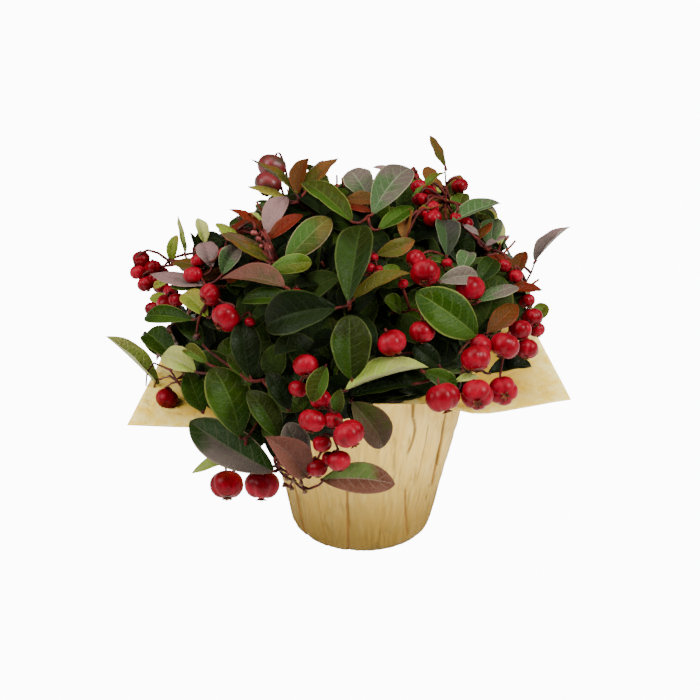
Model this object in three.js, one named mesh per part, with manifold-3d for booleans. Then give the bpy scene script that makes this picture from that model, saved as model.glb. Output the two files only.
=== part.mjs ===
// A wintergreen with red berries, in its plastic nursery pot inside a pleated paper cover.
// The cover is one folded sheet: a tapered cup whose square collar flares out from the rim.
// The crown is leafy masses on boughs from one short stem. Each mass is twigs with leaves and
// berries fused on. Millimetres, +Z up, front towards -Y, origin under the middle of the cover.
import * as THREE from "three";
import { mergeVertices } from "three/addons/utils/BufferGeometryUtils.js";
import Module from "manifold-3d";

const wasm = await Module();
wasm.setup();

// Paper cover
const FOOT_R = 35.2;
const RIM_R = 55;
const RIM_Z = 85;
const SHEET = 0.8;
const PLEATS = 16;
const PLEAT_DEPTH = 0.9;
const WALL_STATIONS = [0, 0.3, 0.68, 1];
const COLLAR_STATIONS = [0.12, 0.5, 1];
const COLLAR_STEP_DEG = 6.5;
const COLLAR_RIPPLE = 1.2;
// The collar's outline, by azimuth from +X in degrees, reach from the axis, and height
const COLLAR_OUTLINE = [
  [207, 126, 86],
  [243, 66, 84],
  [270, 59, 99],
  [300, 60, 95],
  [327, 74, 82],
  [345, 106, 84],
  [410, 110, 113],
  [495, 119, 100],
];

// Nursery pot and compost
const GAP = 0.3;
const POT_FOOT_R = 32.4;
const POT_RIM_R = 50.4;
const POT_WALL = 1.2;
const POT_LIP = 1.6;
const POT_LIP_DROP = 7;
const POT_Z = SHEET + GAP;
const POT_RIM_Z = 82;
const COMPOST_Z = 73;
const COMPOST_MOUND = 3;
const POT_SIDES = 28;

// Stem and boughs
const STEM_FOOT_R = 7.5;
const STEM_R = 4.6;
const STEM_Z = 91;
const LOW_TIER = 0.72;
const UPPER_REACH = 3.9;
const SEAT_ROUNDS = 5;
const BOUGH_R = 1.6;
const BOUGH_TIP_R = 1.1;
const BOUGH_SIDES = 5;
const BOUGH_STEPS = 3;
const BOUGH_RISE = 5;
const HUB_REACH = 0.5;

// Crown: a low dome about its middle, with a skirt that hangs over the rim
const CROWN = new THREE.Vector3(0, 0, 105);
const CROWN_R = 103;
const CROWN_TOP = 84;
const CROWN_SKIRT = 92;
const VIEW_UP = new THREE.Vector3(0, 0.454, 0.891);
const VIEW_OUT = new THREE.Vector3(0, -0.891, 0.454);
const EYE = 1000;
// The masses, by azimuth and elevation in degrees from the crown's middle
const MASSES = {
  top: [300, 82],
  upper_front: [258, 42],
  upper_right: [338, 40],
  upper_back_right: [50, 42],
  upper_back_left: [126, 42],
  upper_left: [196, 42],
  front: [268, 0],
  front_right: [316, 2],
  right: [0, 4],
  back_right: [44, 16],
  back: [90, 8],
  back_left: [136, 10],
  left: [184, 4],
  front_left: [226, 0],
};

// Twigs, leaves and berries
const TWIG_R = 0.95;
const TWIG_TIP_R = 0.6;
const TWIG_LIFT = 0.18;
const ROOT_HALF = 0.3;
const KNOT_R = 1.4;
const KNOT_HEIGHT = 1.3;
const SIDE_MOST = 0.6;
const BARE_MOST = 1.5;
const TWIG_STEPS = 2;
const STALK_LENGTH = 15;
const STALK_FORKED = 0.8;
const GOLDEN_SHARE = 0.618;
const SLOPE_MOST = 0.8;
const LEANS = [0.3, 0.1, 0.5, -0.1, 0.7, -0.3, 0.9];
const LEAF_THICK = 1;
const LEAF_SLIM = 0.54;
const LEAF_FOLD = 0.16;
const LEAF_ARCH = 0.12;
const LEAF_STATIONS = [
  [0.12, 0.12],
  [0.44, 0.94],
  [0.76, 0.86],
];
const BERRY_SIDES = 5;
const BERRY_RINGS = 3;
const BERRY_SQUASH = 0.86;

// Shoots seen from the front: across and up from the crown's middle, how far below the crown's
// surface, leaves, their length, the way they point (0 right, 90 up) and how wide they fan
const SHOOTS = [
  [-32, 62, 0, 5, 24, 106, 140],
  [3, 54, 0, 5, 27, 100, 170],
  [7, 36, 4, 3, 21, 40, 120],
  [-45, 34, 0, 6, 31, 98, 160],
  [-6, 12, 0, 5, 36, 82, 360],
  [-6, -29, 4, 4, 38, 50, 130],
  [-35, 18, 4, 3, 31, 178, 60],
  [-77, 23, 2, 5, 25, 150, 220],
  [-87, 34, 8, 4, 21, 95, 80],
  [42, 60, 3, 6, 23, 88, 170],
  [42, 36, 3, 4, 21, 75, 150],
  [64, 40, 4, 5, 17, 92, 200],
  [78, 24, 4, 4, 27, 58, 96],
  [58, 14, 5, 4, 22, 30, 180],
  [62, -2, 2, 4, 23, 40, 120],
  [57, -4, 0, 1, 38, 144, 0],
  [39, -23, 5, 5, 21, 10, 240],
  [-21, -25, 3, 4, 20, 250, 160],
  [-6, -36, 3, 3, 27, 305, 80],
  [-25, -71, 0, 4, 34, 62, 180],
  [-43, -68, 0, 4, 38, 148, 90],
  [-58, -54, 0, 3, 38, 108, 70],
  [-50, -25, 6, 5, 28, 70, 240],
  [-92, -26, 2, 5, 25, 118, 160],
  [-101, -29, 0, 1, 37, 136, 0],
  [-20, 34, 8, 4, 28, 120, 360],
  [24, 10, 10, 4, 28, 60, 360],
  [18, -12, 8, 4, 27, 200, 360],
  [-30, -8, 10, 4, 28, 240, 360],
  [-62, 4, 10, 4, 26, 30, 360],
  [-66, -20, 8, 4, 28, 300, 360],
  [22, 46, 6, 4, 25, 20, 360],
  [78, 2, 10, 4, 22, 330, 360],
  [-62, 50, 6, 4, 24, 130, 200],
  [-10, 70, 6, 4, 20, 80, 320],
  [20, 70, 6, 4, 20, 100, 320],
];
// Shoots on the sides and back follow one spiral over the dome
const SPIRAL_COUNT = 56;
const SPIRAL_TOP = 0.97;
const SPIRAL_LOW = -0.28;
const SPIRAL_TURN = 137.508;
const SPIRAL_FRONT = 34;
const SIDE_LOW = 0.06;
const SIDE_BACK = -55;
const SPIRAL_LEAVES = 5;
const SPIRAL_LEAF = 33;

// Fruit seen from the front: place as for the shoots, berries, their radius, and the way the
// fruit stalk runs
const CLUSTERS = [
  [-45, 72, -3, 2, 7.2, 92],
  [-101, 19, 4, 5, 4.4, 100],
  [-73, 10, -3, 4, 5.2, 115],
  [-97, -35, 2, 1, 5.8, 270],
  [-68, -76, 0, 2, 8.2, 2],
  [-27, -20, -5, 6, 5.8, 285],
  [14, -7, -3, 2, 6.4, 10],
  [30, 28, -3, 3, 5.4, 60],
  [30, 58, -3, 4, 4.2, 80],
  [54, 20, -3, 3, 5, 15],
  [76, -12, -4, 5, 5.8, 78],
  [40, -34, -3, 3, 7.4, 6],
];
const SPIRAL_FRUIT_EVERY = 3;

const toRad = THREE.MathUtils.degToRad;
const lerp = THREE.MathUtils.lerp;
const vec = (x, y, z) => new THREE.Vector3(x, y, z);

// The same number between 0 and 1 for the same seed and count, on every run
function chance(seed, count) {
  const wave = Math.sin(seed * 12.9898 + count * 78.233) * 43758.5453;
  return wave - Math.floor(wave);
}

// A body between rings of points that go round the way they travel; an end without a middle
// point is closed flat
function loft(rings, start, end) {
  const sides = rings[0].length;
  const points = rings.flat();
  const faces = [];
  for (let i = 0; i + 1 < rings.length; i++) {
    for (let j = 0; j < sides; j++) {
      const a = i * sides + j;
      const b = i * sides + ((j + 1) % sides);
      faces.push(a, b, b + sides, a, b + sides, a + sides);
    }
  }
  const close = (first, middle, turned) => {
    const add = (a, b, c) => (turned ? faces.push(a, c, b) : faces.push(a, b, c));
    if (middle) {
      points.push(middle);
      for (let j = 0; j < sides; j++) add(first + j, first + ((j + 1) % sides), points.length - 1);
    } else {
      for (let j = 1; j + 1 < sides; j++) add(first, first + j, first + j + 1);
    }
  };
  close(0, start, true);
  close((rings.length - 1) * sides, end, false);
  const geometry = new THREE.BufferGeometry().setFromPoints(points);
  geometry.setIndex(faces);
  return geometry;
}

function solid(geometry) {
  geometry.deleteAttribute("normal");
  geometry.deleteAttribute("uv");
  const merged = mergeVertices(geometry, 1e-3);
  return new wasm.Manifold(
    new wasm.Mesh({
      numProp: 3,
      vertProperties: new Float32Array(merged.attributes.position.array),
      triVerts: new Uint32Array(merged.index.array),
    }),
  );
}

function geometryOf(body) {
  const mesh = body.getMesh();
  const geometry = new THREE.BufferGeometry();
  const position = new Float32Array(mesh.numVert * 3);
  for (let i = 0; i < mesh.numVert; i++) {
    const from = i * mesh.numProp;
    position.set(mesh.vertProperties.subarray(from, from + 3), i * 3);
  }
  geometry.setAttribute("position", new THREE.BufferAttribute(position, 3));
  geometry.setIndex(new THREE.BufferAttribute(new Uint32Array(mesh.triVerts), 1));
  return geometry;
}

const group = new THREE.Group();
function addMesh(name, geometry, colour, roughness) {
  const material = new THREE.MeshStandardMaterial({ color: colour, roughness, metalness: 0 });
  const mesh = new THREE.Mesh(geometry, material);
  mesh.name = name;
  mesh.geometry.computeVertexNormals();
  group.add(mesh);
}

// Every body that is already placed, with its owner, so that later ones keep clear of it
const placed = [];
function keep(body, owner, shoot, blade) {
  placed.push({ body, owner, shoot, blade, box: body.boundingBox() });
}
const apart = (a, b) =>
  [0, 1, 2].some((i) => a.min[i] > b.max[i] + GAP || a.max[i] < b.min[i] - GAP);
const meets = (body, box, other) =>
  !apart(box, other.box) && body.minGap(other.body, 2 * GAP) < GAP;
function isClear(body, owner) {
  const box = body.boundingBox();
  return !placed.some((other) => other.owner !== owner && meets(body, box, other));
}
// Within a mass a leaf's blade keeps off all but the roots of its own shoot's leaves
function isFree(blade, owner, shoot) {
  const box = blade.boundingBox();
  return !placed.some((other) => {
    if (other.owner !== owner) return false;
    const same = other.shoot === shoot && other.blade;
    return meets(blade, box, same ? { body: other.blade, box: other.box } : other);
  });
}

// Paper cover: where the collar ends at an azimuth, on the straight side between two corners
function collarEdge(from, to, turn) {
  const along = vec(Math.cos(toRad(turn)), Math.sin(toRad(turn)), 0);
  const corner = ([azimuth, reach, height]) =>
    vec(reach * Math.cos(toRad(azimuth)), reach * Math.sin(toRad(azimuth)), height);
  const a = corner(from);
  const b = corner(to);
  const side = (p) => p.x * along.y - p.y * along.x;
  const edge = a.lerp(b, side(a) / (side(a) - side(b)));
  return { reach: Math.hypot(edge.x, edge.y), height: edge.z };
}

function coverRings() {
  const columns = [];
  COLLAR_OUTLINE.forEach((from, i) => {
    const last = i + 1 === COLLAR_OUTLINE.length;
    const to = last ? COLLAR_OUTLINE[0].map((v, k) => (k ? v : v + 360)) : COLLAR_OUTLINE[i + 1];
    const steps = Math.round((to[0] - from[0]) / COLLAR_STEP_DEG);
    for (let k = 0; k < steps; k++) {
      const turn = lerp(from[0], to[0], k / steps);
      columns.push(coverColumn(turn, collarEdge(from, to, turn)));
    }
  });
  return columns[0].map((_, row) => columns.map((column) => column[row]));
}

// The sheet's profile at one azimuth, up the outside to the collar's edge and back inside
function coverColumn(turn, edge) {
  const fold = ((turn * PLEATS) / 360) % 1;
  const outside = WALL_STATIONS.map((u) => ({
    r: lerp(FOOT_R, RIM_R, u) - PLEAT_DEPTH * fold * lerp(0.35, 1, u),
    z: RIM_Z * u,
    in: u === 0 ? [SHEET, SHEET] : u === 1 ? [SHEET * 0.8, SHEET * 0.5] : [SHEET, 0],
  }));
  const rim = outside[outside.length - 1].r;
  const rise = Math.max(edge.height - RIM_Z, 0);
  const steep = rise / Math.hypot(rise, edge.reach - rim);
  COLLAR_STATIONS.forEach((u) => {
    const ripple = COLLAR_RIPPLE * Math.sin(toRad(turn * 7)) * u * (1 - u);
    outside.push({
      r: lerp(rim, edge.reach, u),
      z: lerp(RIM_Z, edge.height, u) + ripple,
      in: [SHEET * steep, SHEET * Math.sqrt(1 - steep * steep)],
    });
  });
  const inside = outside.map((p) => ({ r: p.r - p.in[0], z: p.z + p.in[1] })).reverse();
  return [...outside, ...inside].map((p) =>
    vec(p.r * Math.cos(toRad(turn)), p.r * Math.sin(toRad(turn)), p.z),
  );
}

const cover = loft(coverRings(), vec(0, 0, 0), vec(0, 0, SHEET));
addMesh("paper_cover", cover, 0xd9c285, 0.75);
keep(solid(cover.clone()), "cover");

// Nursery pot, with a lip round its rim, and the compost that fills it
const potR = (z) => lerp(POT_FOOT_R, POT_RIM_R, (z - POT_Z) / (POT_RIM_Z - POT_Z));
const lipZ = POT_RIM_Z - POT_LIP_DROP;
const potProfile = [
  [0, POT_Z],
  [POT_FOOT_R, POT_Z],
  [potR(lipZ) - POT_LIP, lipZ],
  [potR(lipZ), lipZ + POT_LIP],
  [POT_RIM_R, POT_RIM_Z],
  [POT_RIM_R - POT_WALL, POT_RIM_Z],
  [potR(lipZ) - POT_LIP - POT_WALL, lipZ],
  [POT_FOOT_R - POT_WALL, POT_Z + POT_WALL],
  [0, POT_Z + POT_WALL],
];
const pot = new THREE.LatheGeometry(
  potProfile.map(([r, z]) => new THREE.Vector2(r, z)),
  POT_SIDES,
).rotateX(Math.PI / 2);
const potSolid = solid(pot);
addMesh("nursery_pot", geometryOf(potSolid), 0x3b2a22, 0.6);
keep(potSolid, "nursery_pot");

const compostFloor = POT_Z + POT_WALL + GAP;
const compostR = (z) =>
  lerp(POT_FOOT_R, potR(lipZ) - POT_LIP, (z - POT_Z) / (lipZ - POT_Z)) - POT_WALL - GAP * 1.4;
const compost = new THREE.LatheGeometry(
  [
    [0, compostFloor],
    [compostR(compostFloor), compostFloor],
    [compostR(COMPOST_Z), COMPOST_Z],
    [STEM_FOOT_R * 2, COMPOST_Z + COMPOST_MOUND],
    [0, COMPOST_Z + COMPOST_MOUND],
  ].map(([r, z]) => new THREE.Vector2(r, z)),
  POT_SIDES,
).rotateX(Math.PI / 2);
const compostSolid = solid(compost);
addMesh("compost", geometryOf(compostSolid), 0x2c2019, 1);
keep(compostSolid, "compost");

// A limb round a curve: its radius tapers evenly from foot to tip
function limb(curve, footR, tipR, sides, steps) {
  const chord = curve.getPoint(1).sub(curve.getPoint(0)).normalize();
  const steady = Math.abs(chord.z) > 0.8 ? vec(1, 0, 0) : vec(0, 0, 1);
  const rings = [];
  for (let i = 0; i <= steps; i++) {
    const middle = curve.getPoint(i / steps);
    const way = curve.getTangent(i / steps);
    const across = steady.clone().cross(way).normalize();
    const over = way.clone().cross(across);
    const radius = lerp(footR, tipR, i / steps);
    rings.push(
      Array.from({ length: sides }, (_, j) => {
        const angle = (2 * Math.PI * j) / sides;
        return middle
          .clone()
          .addScaledVector(across, radius * Math.cos(angle))
          .addScaledVector(over, radius * Math.sin(angle));
      }),
    );
  }
  return solid(loft(rings));
}

// Short stem, flared where it leaves the compost
const stemFoot = COMPOST_Z + COMPOST_MOUND + GAP;
const stem = new THREE.LatheGeometry(
  [
    [0, stemFoot],
    [STEM_FOOT_R, stemFoot],
    [STEM_R, lerp(stemFoot, STEM_Z, 0.4)],
    [STEM_R * 0.9, STEM_Z],
    [0, STEM_Z],
  ].map(([r, z]) => new THREE.Vector2(r, z)),
  12,
).rotateX(Math.PI / 2);
const stemSolid = solid(stem);
addMesh("stem", geometryOf(stemSolid), 0x6a4a36, 0.85);
keep(stemSolid, "stem");

// Boughs: a low tier leaves the stem's side and an upper tier its top
function onDome(azimuth, elevation, share) {
  const flat = Math.cos(toRad(elevation)) * CROWN_R * share;
  const rise = Math.sin(toRad(elevation)) * CROWN_TOP * share;
  return vec(flat * Math.cos(toRad(azimuth)), flat * Math.sin(toRad(azimuth)), rise).add(CROWN);
}

// Each bough is moved in until it lies one gap from the stem
const hubs = {};
Object.entries(MASSES).forEach(([name, [azimuth, elevation]]) => {
  const upper = elevation > 30;
  const out = vec(Math.cos(toRad(azimuth)), Math.sin(toRad(azimuth)), 0);
  const reach = name === "top" ? 0 : upper ? UPPER_REACH : STEM_R + BOUGH_R;
  const height = upper ? STEM_Z + BOUGH_R : lerp(stemFoot, STEM_Z, LOW_TIER);
  const hub = onDome(azimuth, elevation, HUB_REACH);
  let curve;
  let bough;
  let inset = 0;
  for (let round = 0; round < SEAT_ROUNDS; round++) {
    const foot = out.clone().multiplyScalar(upper ? reach : reach - inset);
    foot.z = upper ? height - inset : height;
    const bend = foot.clone().lerp(hub, 0.5).add(vec(0, 0, upper ? 0 : BOUGH_RISE));
    curve = new THREE.QuadraticBezierCurve3(foot, bend, hub);
    bough = limb(curve, BOUGH_R, BOUGH_TIP_R, BOUGH_SIDES, BOUGH_STEPS);
    inset += bough.minGap(stemSolid, STEM_Z) - GAP;
  }
  hubs[name] = { hub, way: curve.getTangent(1) };
  addMesh("bough_" + name, geometryOf(bough), 0x7a4a38, 0.85);
  keep(bough, "bough_" + name);
});

// The crown's surface, found by walking in from the eye along the line through a place that is
// given across and up on the crown's middle plane
function onCrown(across, up, sink) {
  const at = (out) => {
    const scale = 1 - out / EYE;
    return vec(across * scale, 0, 0)
      .addScaledVector(VIEW_UP, up * scale)
      .addScaledVector(VIEW_OUT, out);
  };
  const depth = (p) =>
    (p.x * p.x + p.y * p.y) / CROWN_R ** 2 + (p.z / (p.z > 0 ? CROWN_TOP : CROWN_SKIRT)) ** 2;
  let best = 0;
  for (let out = 130; out > -60; out--) {
    if (depth(at(out)) < depth(at(best))) best = out;
    if (depth(at(out)) < 1) {
      best = out;
      break;
    }
  }
  return at(best - sink).add(CROWN);
}

// The way out of the dome at a place on it
function domeOut(place) {
  const from = place.clone().sub(CROWN);
  const height = from.z > 0 ? CROWN_TOP : CROWN_SKIRT;
  return vec(from.x / CROWN_R ** 2, from.y / CROWN_R ** 2, from.z / height ** 2).normalize();
}

function massOf(place) {
  const way = place.clone().sub(CROWN).normalize();
  const facing = (name) => onDome(...MASSES[name], 1).sub(CROWN).normalize().dot(way);
  return Object.keys(MASSES).reduce((a, b) => (facing(b) > facing(a) ? b : a));
}

// Shoots on all sides, each with the frame that its leaves fan out in
const shoots = SHOOTS.map(([across, up, sink, leaves, length, clock, fan]) => ({
  place: onCrown(across, up, sink),
  right: vec(1, 0, 0),
  up: VIEW_UP,
  eye: VIEW_OUT,
  out: domeOut(onCrown(across, up, sink)),
  leaves,
  length,
  clock,
  fan,
}));
const fruits = CLUSTERS.map(([across, up, sink, berries, radius, clock]) => ({
  place: onCrown(across, up, sink),
  right: vec(1, 0, 0),
  up: VIEW_UP,
  eye: VIEW_OUT,
  out: VIEW_OUT,
  berries,
  radius,
  clock,
}));
for (let i = 0; i < SPIRAL_COUNT; i++) {
  const rise = lerp(SPIRAL_TOP, SPIRAL_LOW, (i + 0.5) / SPIRAL_COUNT);
  const azimuth = i * SPIRAL_TURN;
  const place = onDome(azimuth, (Math.asin(rise) * 180) / Math.PI, 0.98 - 0.06 * chance(i, 1));
  const from = place.clone().sub(CROWN);
  const facing = from.dot(VIEW_OUT);
  if (facing > SPIRAL_FRONT || (rise < SIDE_LOW && facing > SIDE_BACK)) continue;
  const out = from.clone().normalize();
  const right = vec(0, 0, 1).cross(out).normalize();
  const up = out.clone().cross(right);
  const frame = { place, right, up, eye: out, out };
  shoots.push({
    ...frame,
    leaves: SPIRAL_LEAVES,
    length: SPIRAL_LEAF * (0.85 + 0.3 * chance(i, 2)),
    clock: 360 * chance(i, 3),
    fan: 360,
  });
  if (i % SPIRAL_FRUIT_EVERY === 0) {
    const aside = place.clone().addScaledVector(right, 12).addScaledVector(out, 5);
    const berries = 1 + Math.floor(3 * chance(i, 4));
    const radius = 4.5 + 2.5 * chance(i, 5);
    fruits.push({ ...frame, place: aside, berries, radius, clock: 250 + 60 * chance(i, 6) });
  }
}

// The way along the crown's surface that points to a clock angle as the eye sees it
function alongCrown(frame, clock) {
  const seen = frame.right
    .clone()
    .multiplyScalar(Math.cos(toRad(clock)))
    .addScaledVector(frame.up, Math.sin(toRad(clock)));
  const slope = -seen.dot(frame.out) / Math.max(frame.eye.dot(frame.out), 0.3);
  return seen.addScaledVector(frame.eye, THREE.MathUtils.clamp(slope, -SLOPE_MOST, SLOPE_MOST));
}

// A leaf from its root in the twig to its tip: keeled, arched, widest past its middle
function leafSolid(root, way, face, length, slimness) {
  const top = face.clone().addScaledVector(way, -face.dot(way)).normalize();
  const across = top.clone().cross(way);
  const ring = (u, half, thick) => {
    const middle = root
      .clone()
      .addScaledVector(way, u * length)
      .addScaledVector(top, -LEAF_ARCH * length * u * u);
    const edge = (side) =>
      middle
        .clone()
        .addScaledVector(across, side * half)
        .addScaledVector(top, LEAF_FOLD * half);
    const keel = (side) => middle.clone().addScaledVector(top, (side * thick) / 2);
    return [edge(1), keel(1), edge(-1), keel(-1)];
  };
  const half = (length * slimness) / 2;
  const rings = [
    ring(0, ROOT_HALF, ROOT_HALF),
    ...LEAF_STATIONS.map(([u, share]) => ring(u, half * share, LEAF_THICK)),
  ];
  const tip = root
    .clone()
    .addScaledVector(way, length)
    .addScaledVector(top, -LEAF_ARCH * length);
  return {
    way,
    tip,
    rings: rings.slice(1),
    leaf: solid(loft(rings, undefined, tip)),
    blade: solid(loft(rings.slice(1), undefined, tip)),
  };
}

// A shoot's leaves in one body: they leave a knot at the twig's tip, a short prism with one side
// for each leaf
function shootSolid({ place, out, right, grown }) {
  const east = right.clone().addScaledVector(out, -right.dot(out)).normalize();
  const north = out.clone().cross(east);
  const turn = (leaf) => Math.atan2(leaf.way.dot(north), leaf.way.dot(east));
  const sorted = grown.map((leaf) => ({ leaf, angle: turn(leaf) })).sort((a, b) => a.angle - b.angle);
  const corners = [];
  sorted.forEach(({ leaf, angle }, k) => {
    const to = (j) => sorted[(j + sorted.length) % sorted.length].angle;
    const between = (a, b) => (b > a ? b - a : b - a + 2 * Math.PI);
    const before = between(to(k - 1), angle);
    const after = between(angle, to(k + 1));
    corners.push({ angle: angle - Math.min(before / 2, SIDE_MOST), leaf });
    const bare = after - 2 * SIDE_MOST;
    const bareSides = Math.ceil(Math.max(bare, 0) / BARE_MOST);
    for (let i = 0; i < bareSides; i++)
      corners.push({ angle: angle + SIDE_MOST + (bare * i) / bareSides });
  });
  const ring = (height) =>
    corners.map(({ angle }) =>
      place
        .clone()
        .addScaledVector(out, height)
        .addScaledVector(east, KNOT_R * Math.cos(angle))
        .addScaledVector(north, KNOT_R * Math.sin(angle)),
    );
  const low = ring(-KNOT_HEIGHT / 2);
  const high = ring(KNOT_HEIGHT / 2);
  const points = [];
  const bridge = (from, to, j) => {
    const next = (j + 1) % from.length;
    points.push(from[j], from[next], to[next], from[j], to[next], to[j]);
  };
  const fan = (around, turned) => {
    for (let j = 1; j + 1 < around.length; j++)
      points.push(around[0], ...(turned ? [around[j + 1], around[j]] : [around[j], around[j + 1]]));
  };
  fan(low, true);
  fan(high, false);
  corners.forEach(({ leaf }, j) => {
    if (!leaf) {
      bridge(low, high, j);
      return;
    }
    const next = (j + 1) % corners.length;
    const rings = [[low[next], high[next], high[j], low[j]], ...leaf.rings];
    for (let side = 0; side < 4; side++) {
      rings.slice(1).forEach((upper, i) => bridge(rings[i], upper, side));
      const last = rings[rings.length - 1];
      points.push(last[side], last[(side + 1) % 4], leaf.tip);
    }
  });
  return solid(new THREE.BufferGeometry().setFromPoints(points));
}

function berrySolid(middle, radius) {
  const berry = new THREE.SphereGeometry(radius, BERRY_SIDES, BERRY_RINGS);
  berry.rotateX(Math.PI / 2);
  berry.scale(1, 1, BERRY_SQUASH);
  berry.translate(middle.x, middle.y, middle.z);
  return solid(berry);
}

// Each mass: its stem goes on from its bough, 0.3 mm clear of it, and twigs leave the stem
const masses = {};
Object.entries(hubs).forEach(([name, { hub, way }]) => {
  const foot = hub.clone().addScaledVector(way, GAP);
  const axis = new THREE.LineCurve3(foot, hub.clone().addScaledVector(way, STALK_LENGTH));
  const stalk = limb(axis, BOUGH_TIP_R, TWIG_R, 3, 1);
  masses[name] = { parts: [stalk], axis, twigs: 0 };
  keep(stalk, name);
});

// A twig from the mass's fork that lifts in the middle, or another way round if that is blocked
function twigTo(name, place, shoot) {
  const share = (masses[name].twigs * GOLDEN_SHARE) % 1;
  const fork = masses[name].axis.getPoint(1 - STALK_FORKED * share);
  const out = place.clone().sub(CROWN).normalize();
  const span = place.distanceTo(fork);
  for (const lift of [TWIG_LIFT, 0.02, 0.34]) {
    const bend = fork
      .clone()
      .lerp(place, 0.5)
      .add(vec(0, 0, span * lift))
      .addScaledVector(out, span * 0.06);
    const curve = new THREE.QuadraticBezierCurve3(fork, bend, place);
    const twig = limb(curve, TWIG_R, TWIG_TIP_R, 3, TWIG_STEPS);
    const knot = solid(new THREE.SphereGeometry(KNOT_R * 1.3, 6, 4).translate(...place));
    if (isClear(twig.add(knot), name)) {
      keep(knot, name, shoot);
      keep(twig, name, shoot);
      masses[name].parts.push(twig);
      masses[name].twigs++;
      return curve;
    }
  }
  return null;
}

shoots.forEach((shoot) => {
  shoot.mass = massOf(shoot.place);
  shoot.curve = twigTo(shoot.mass, shoot.place, shoot);
});

// Fruit stalks run from berry to berry, which sit on both sides of the stalk's line
fruits.forEach((fruit, seed) => {
  const name = massOf(fruit.place);
  const curve = twigTo(name, fruit.place);
  if (!curve) return;
  let last = fruit.place;
  for (let k = 0; k < fruit.berries; k++) {
    const along = alongCrown(fruit, fruit.clock);
    const aside = alongCrown(fruit, fruit.clock + 90);
    const middle = fruit.place
      .clone()
      .addScaledVector(along, k * fruit.radius * 1.55)
      .addScaledVector(aside, (k % 2 ? 0.75 : -0.75) * fruit.radius * (fruit.berries > 2 ? 1 : 0))
      .addScaledVector(fruit.out, fruit.radius * 0.5 * chance(seed, k));
    let both = berrySolid(middle, fruit.radius * (0.88 + 0.2 * chance(seed, k + 20)));
    if (last.distanceTo(middle) > fruit.radius * 0.5)
      both = both.add(limb(new THREE.LineCurve3(last, middle), TWIG_TIP_R, TWIG_TIP_R, 3, 1));
    if (!isClear(both, name)) break;
    keep(both, name);
    masses[name].parts.push(both);
    last = middle;
  }
});

shoots.forEach((shoot, seed) => {
  if (!shoot.curve) return;
  shoot.grown = [];
  for (let k = 0; k < shoot.leaves; k++) {
    const share = (k + 0.5) / shoot.leaves - 0.5;
    const clock = shoot.clock + shoot.fan * share + 14 * (chance(seed, k) - 0.5);
    const along = alongCrown(shoot, clock);
    const length = shoot.length * along.length() * (0.9 + 0.25 * chance(seed, k + 60));
    along.normalize();
    const first = Math.floor(3 * chance(seed, k + 30));
    for (let i = 0; i < LEANS.length; i++) {
      const lean = LEANS[i < 3 ? (i + first) % 3 : i];
      const way = along.clone().multiplyScalar(Math.cos(lean));
      way.addScaledVector(shoot.out, Math.sin(lean));
      const face = shoot.out.clone().add(vec(0, 0, 0.45));
      const leaf = leafSolid(shoot.place, way, face, length, LEAF_SLIM);
      if (isClear(leaf.leaf, shoot.mass) && isFree(leaf.blade, shoot.mass, shoot)) {
        keep(leaf.leaf, shoot.mass, shoot, leaf.blade);
        shoot.grown.push(leaf);
        break;
      }
    }
  }
  if (shoot.grown.length) masses[shoot.mass].parts.push(shootSolid(shoot));
});

Object.entries(masses).forEach(([name, mass]) => {
  const bodies = wasm.Manifold.union(mass.parts).decompose();
  const body = bodies.reduce((a, b) => (b.numTri() > a.numTri() ? b : a));
  addMesh("mass_" + name, geometryOf(body), 0x47602e, 0.6);
});

export default group;
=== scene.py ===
import bmesh
import bpy
import numpy as np
from mathutils import Matrix, Vector


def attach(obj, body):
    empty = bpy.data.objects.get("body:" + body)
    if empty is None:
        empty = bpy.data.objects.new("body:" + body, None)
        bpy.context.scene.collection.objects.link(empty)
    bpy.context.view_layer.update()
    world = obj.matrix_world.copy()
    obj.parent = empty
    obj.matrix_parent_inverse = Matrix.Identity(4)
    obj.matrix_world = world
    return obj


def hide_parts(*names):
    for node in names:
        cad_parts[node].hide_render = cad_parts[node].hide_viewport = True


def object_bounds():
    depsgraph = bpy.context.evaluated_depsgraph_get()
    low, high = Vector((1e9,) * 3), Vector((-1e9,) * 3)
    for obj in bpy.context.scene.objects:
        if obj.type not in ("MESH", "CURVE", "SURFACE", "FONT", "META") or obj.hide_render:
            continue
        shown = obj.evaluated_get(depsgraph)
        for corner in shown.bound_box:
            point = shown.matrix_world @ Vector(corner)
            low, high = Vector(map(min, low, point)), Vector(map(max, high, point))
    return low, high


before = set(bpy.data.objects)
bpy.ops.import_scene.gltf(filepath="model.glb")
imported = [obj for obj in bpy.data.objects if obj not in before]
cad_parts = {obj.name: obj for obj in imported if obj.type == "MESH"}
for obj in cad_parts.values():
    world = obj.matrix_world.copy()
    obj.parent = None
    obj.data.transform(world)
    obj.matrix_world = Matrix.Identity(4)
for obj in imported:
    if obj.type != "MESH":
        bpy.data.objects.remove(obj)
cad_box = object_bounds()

# A wintergreen with red berries, in its nursery pot inside a pleated paper cover. Lengths are
# millimetres in the part's frame, and each mesh is put down in metres.
MM = 0.001


# Camera: a metre in front of the plant and looking down on it. A place in the photograph is given
# in its frame of 700 by 700 pixels, and a pixel is half a millimetre at the target.
PHOTO_SIDE = 700
PIXEL = 0.5
EYE_DISTANCE = 1000
SENSOR = 36
TARGET = np.array([-6, 0, 97.2])
VIEW_RIGHT = np.array([1.0, 0, 0])
VIEW_UP = np.array([0, 0.454, 0.891])
VIEW_OUT = np.array([0, -0.891, 0.454])
EYE = TARGET + EYE_DISTANCE * VIEW_OUT

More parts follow.
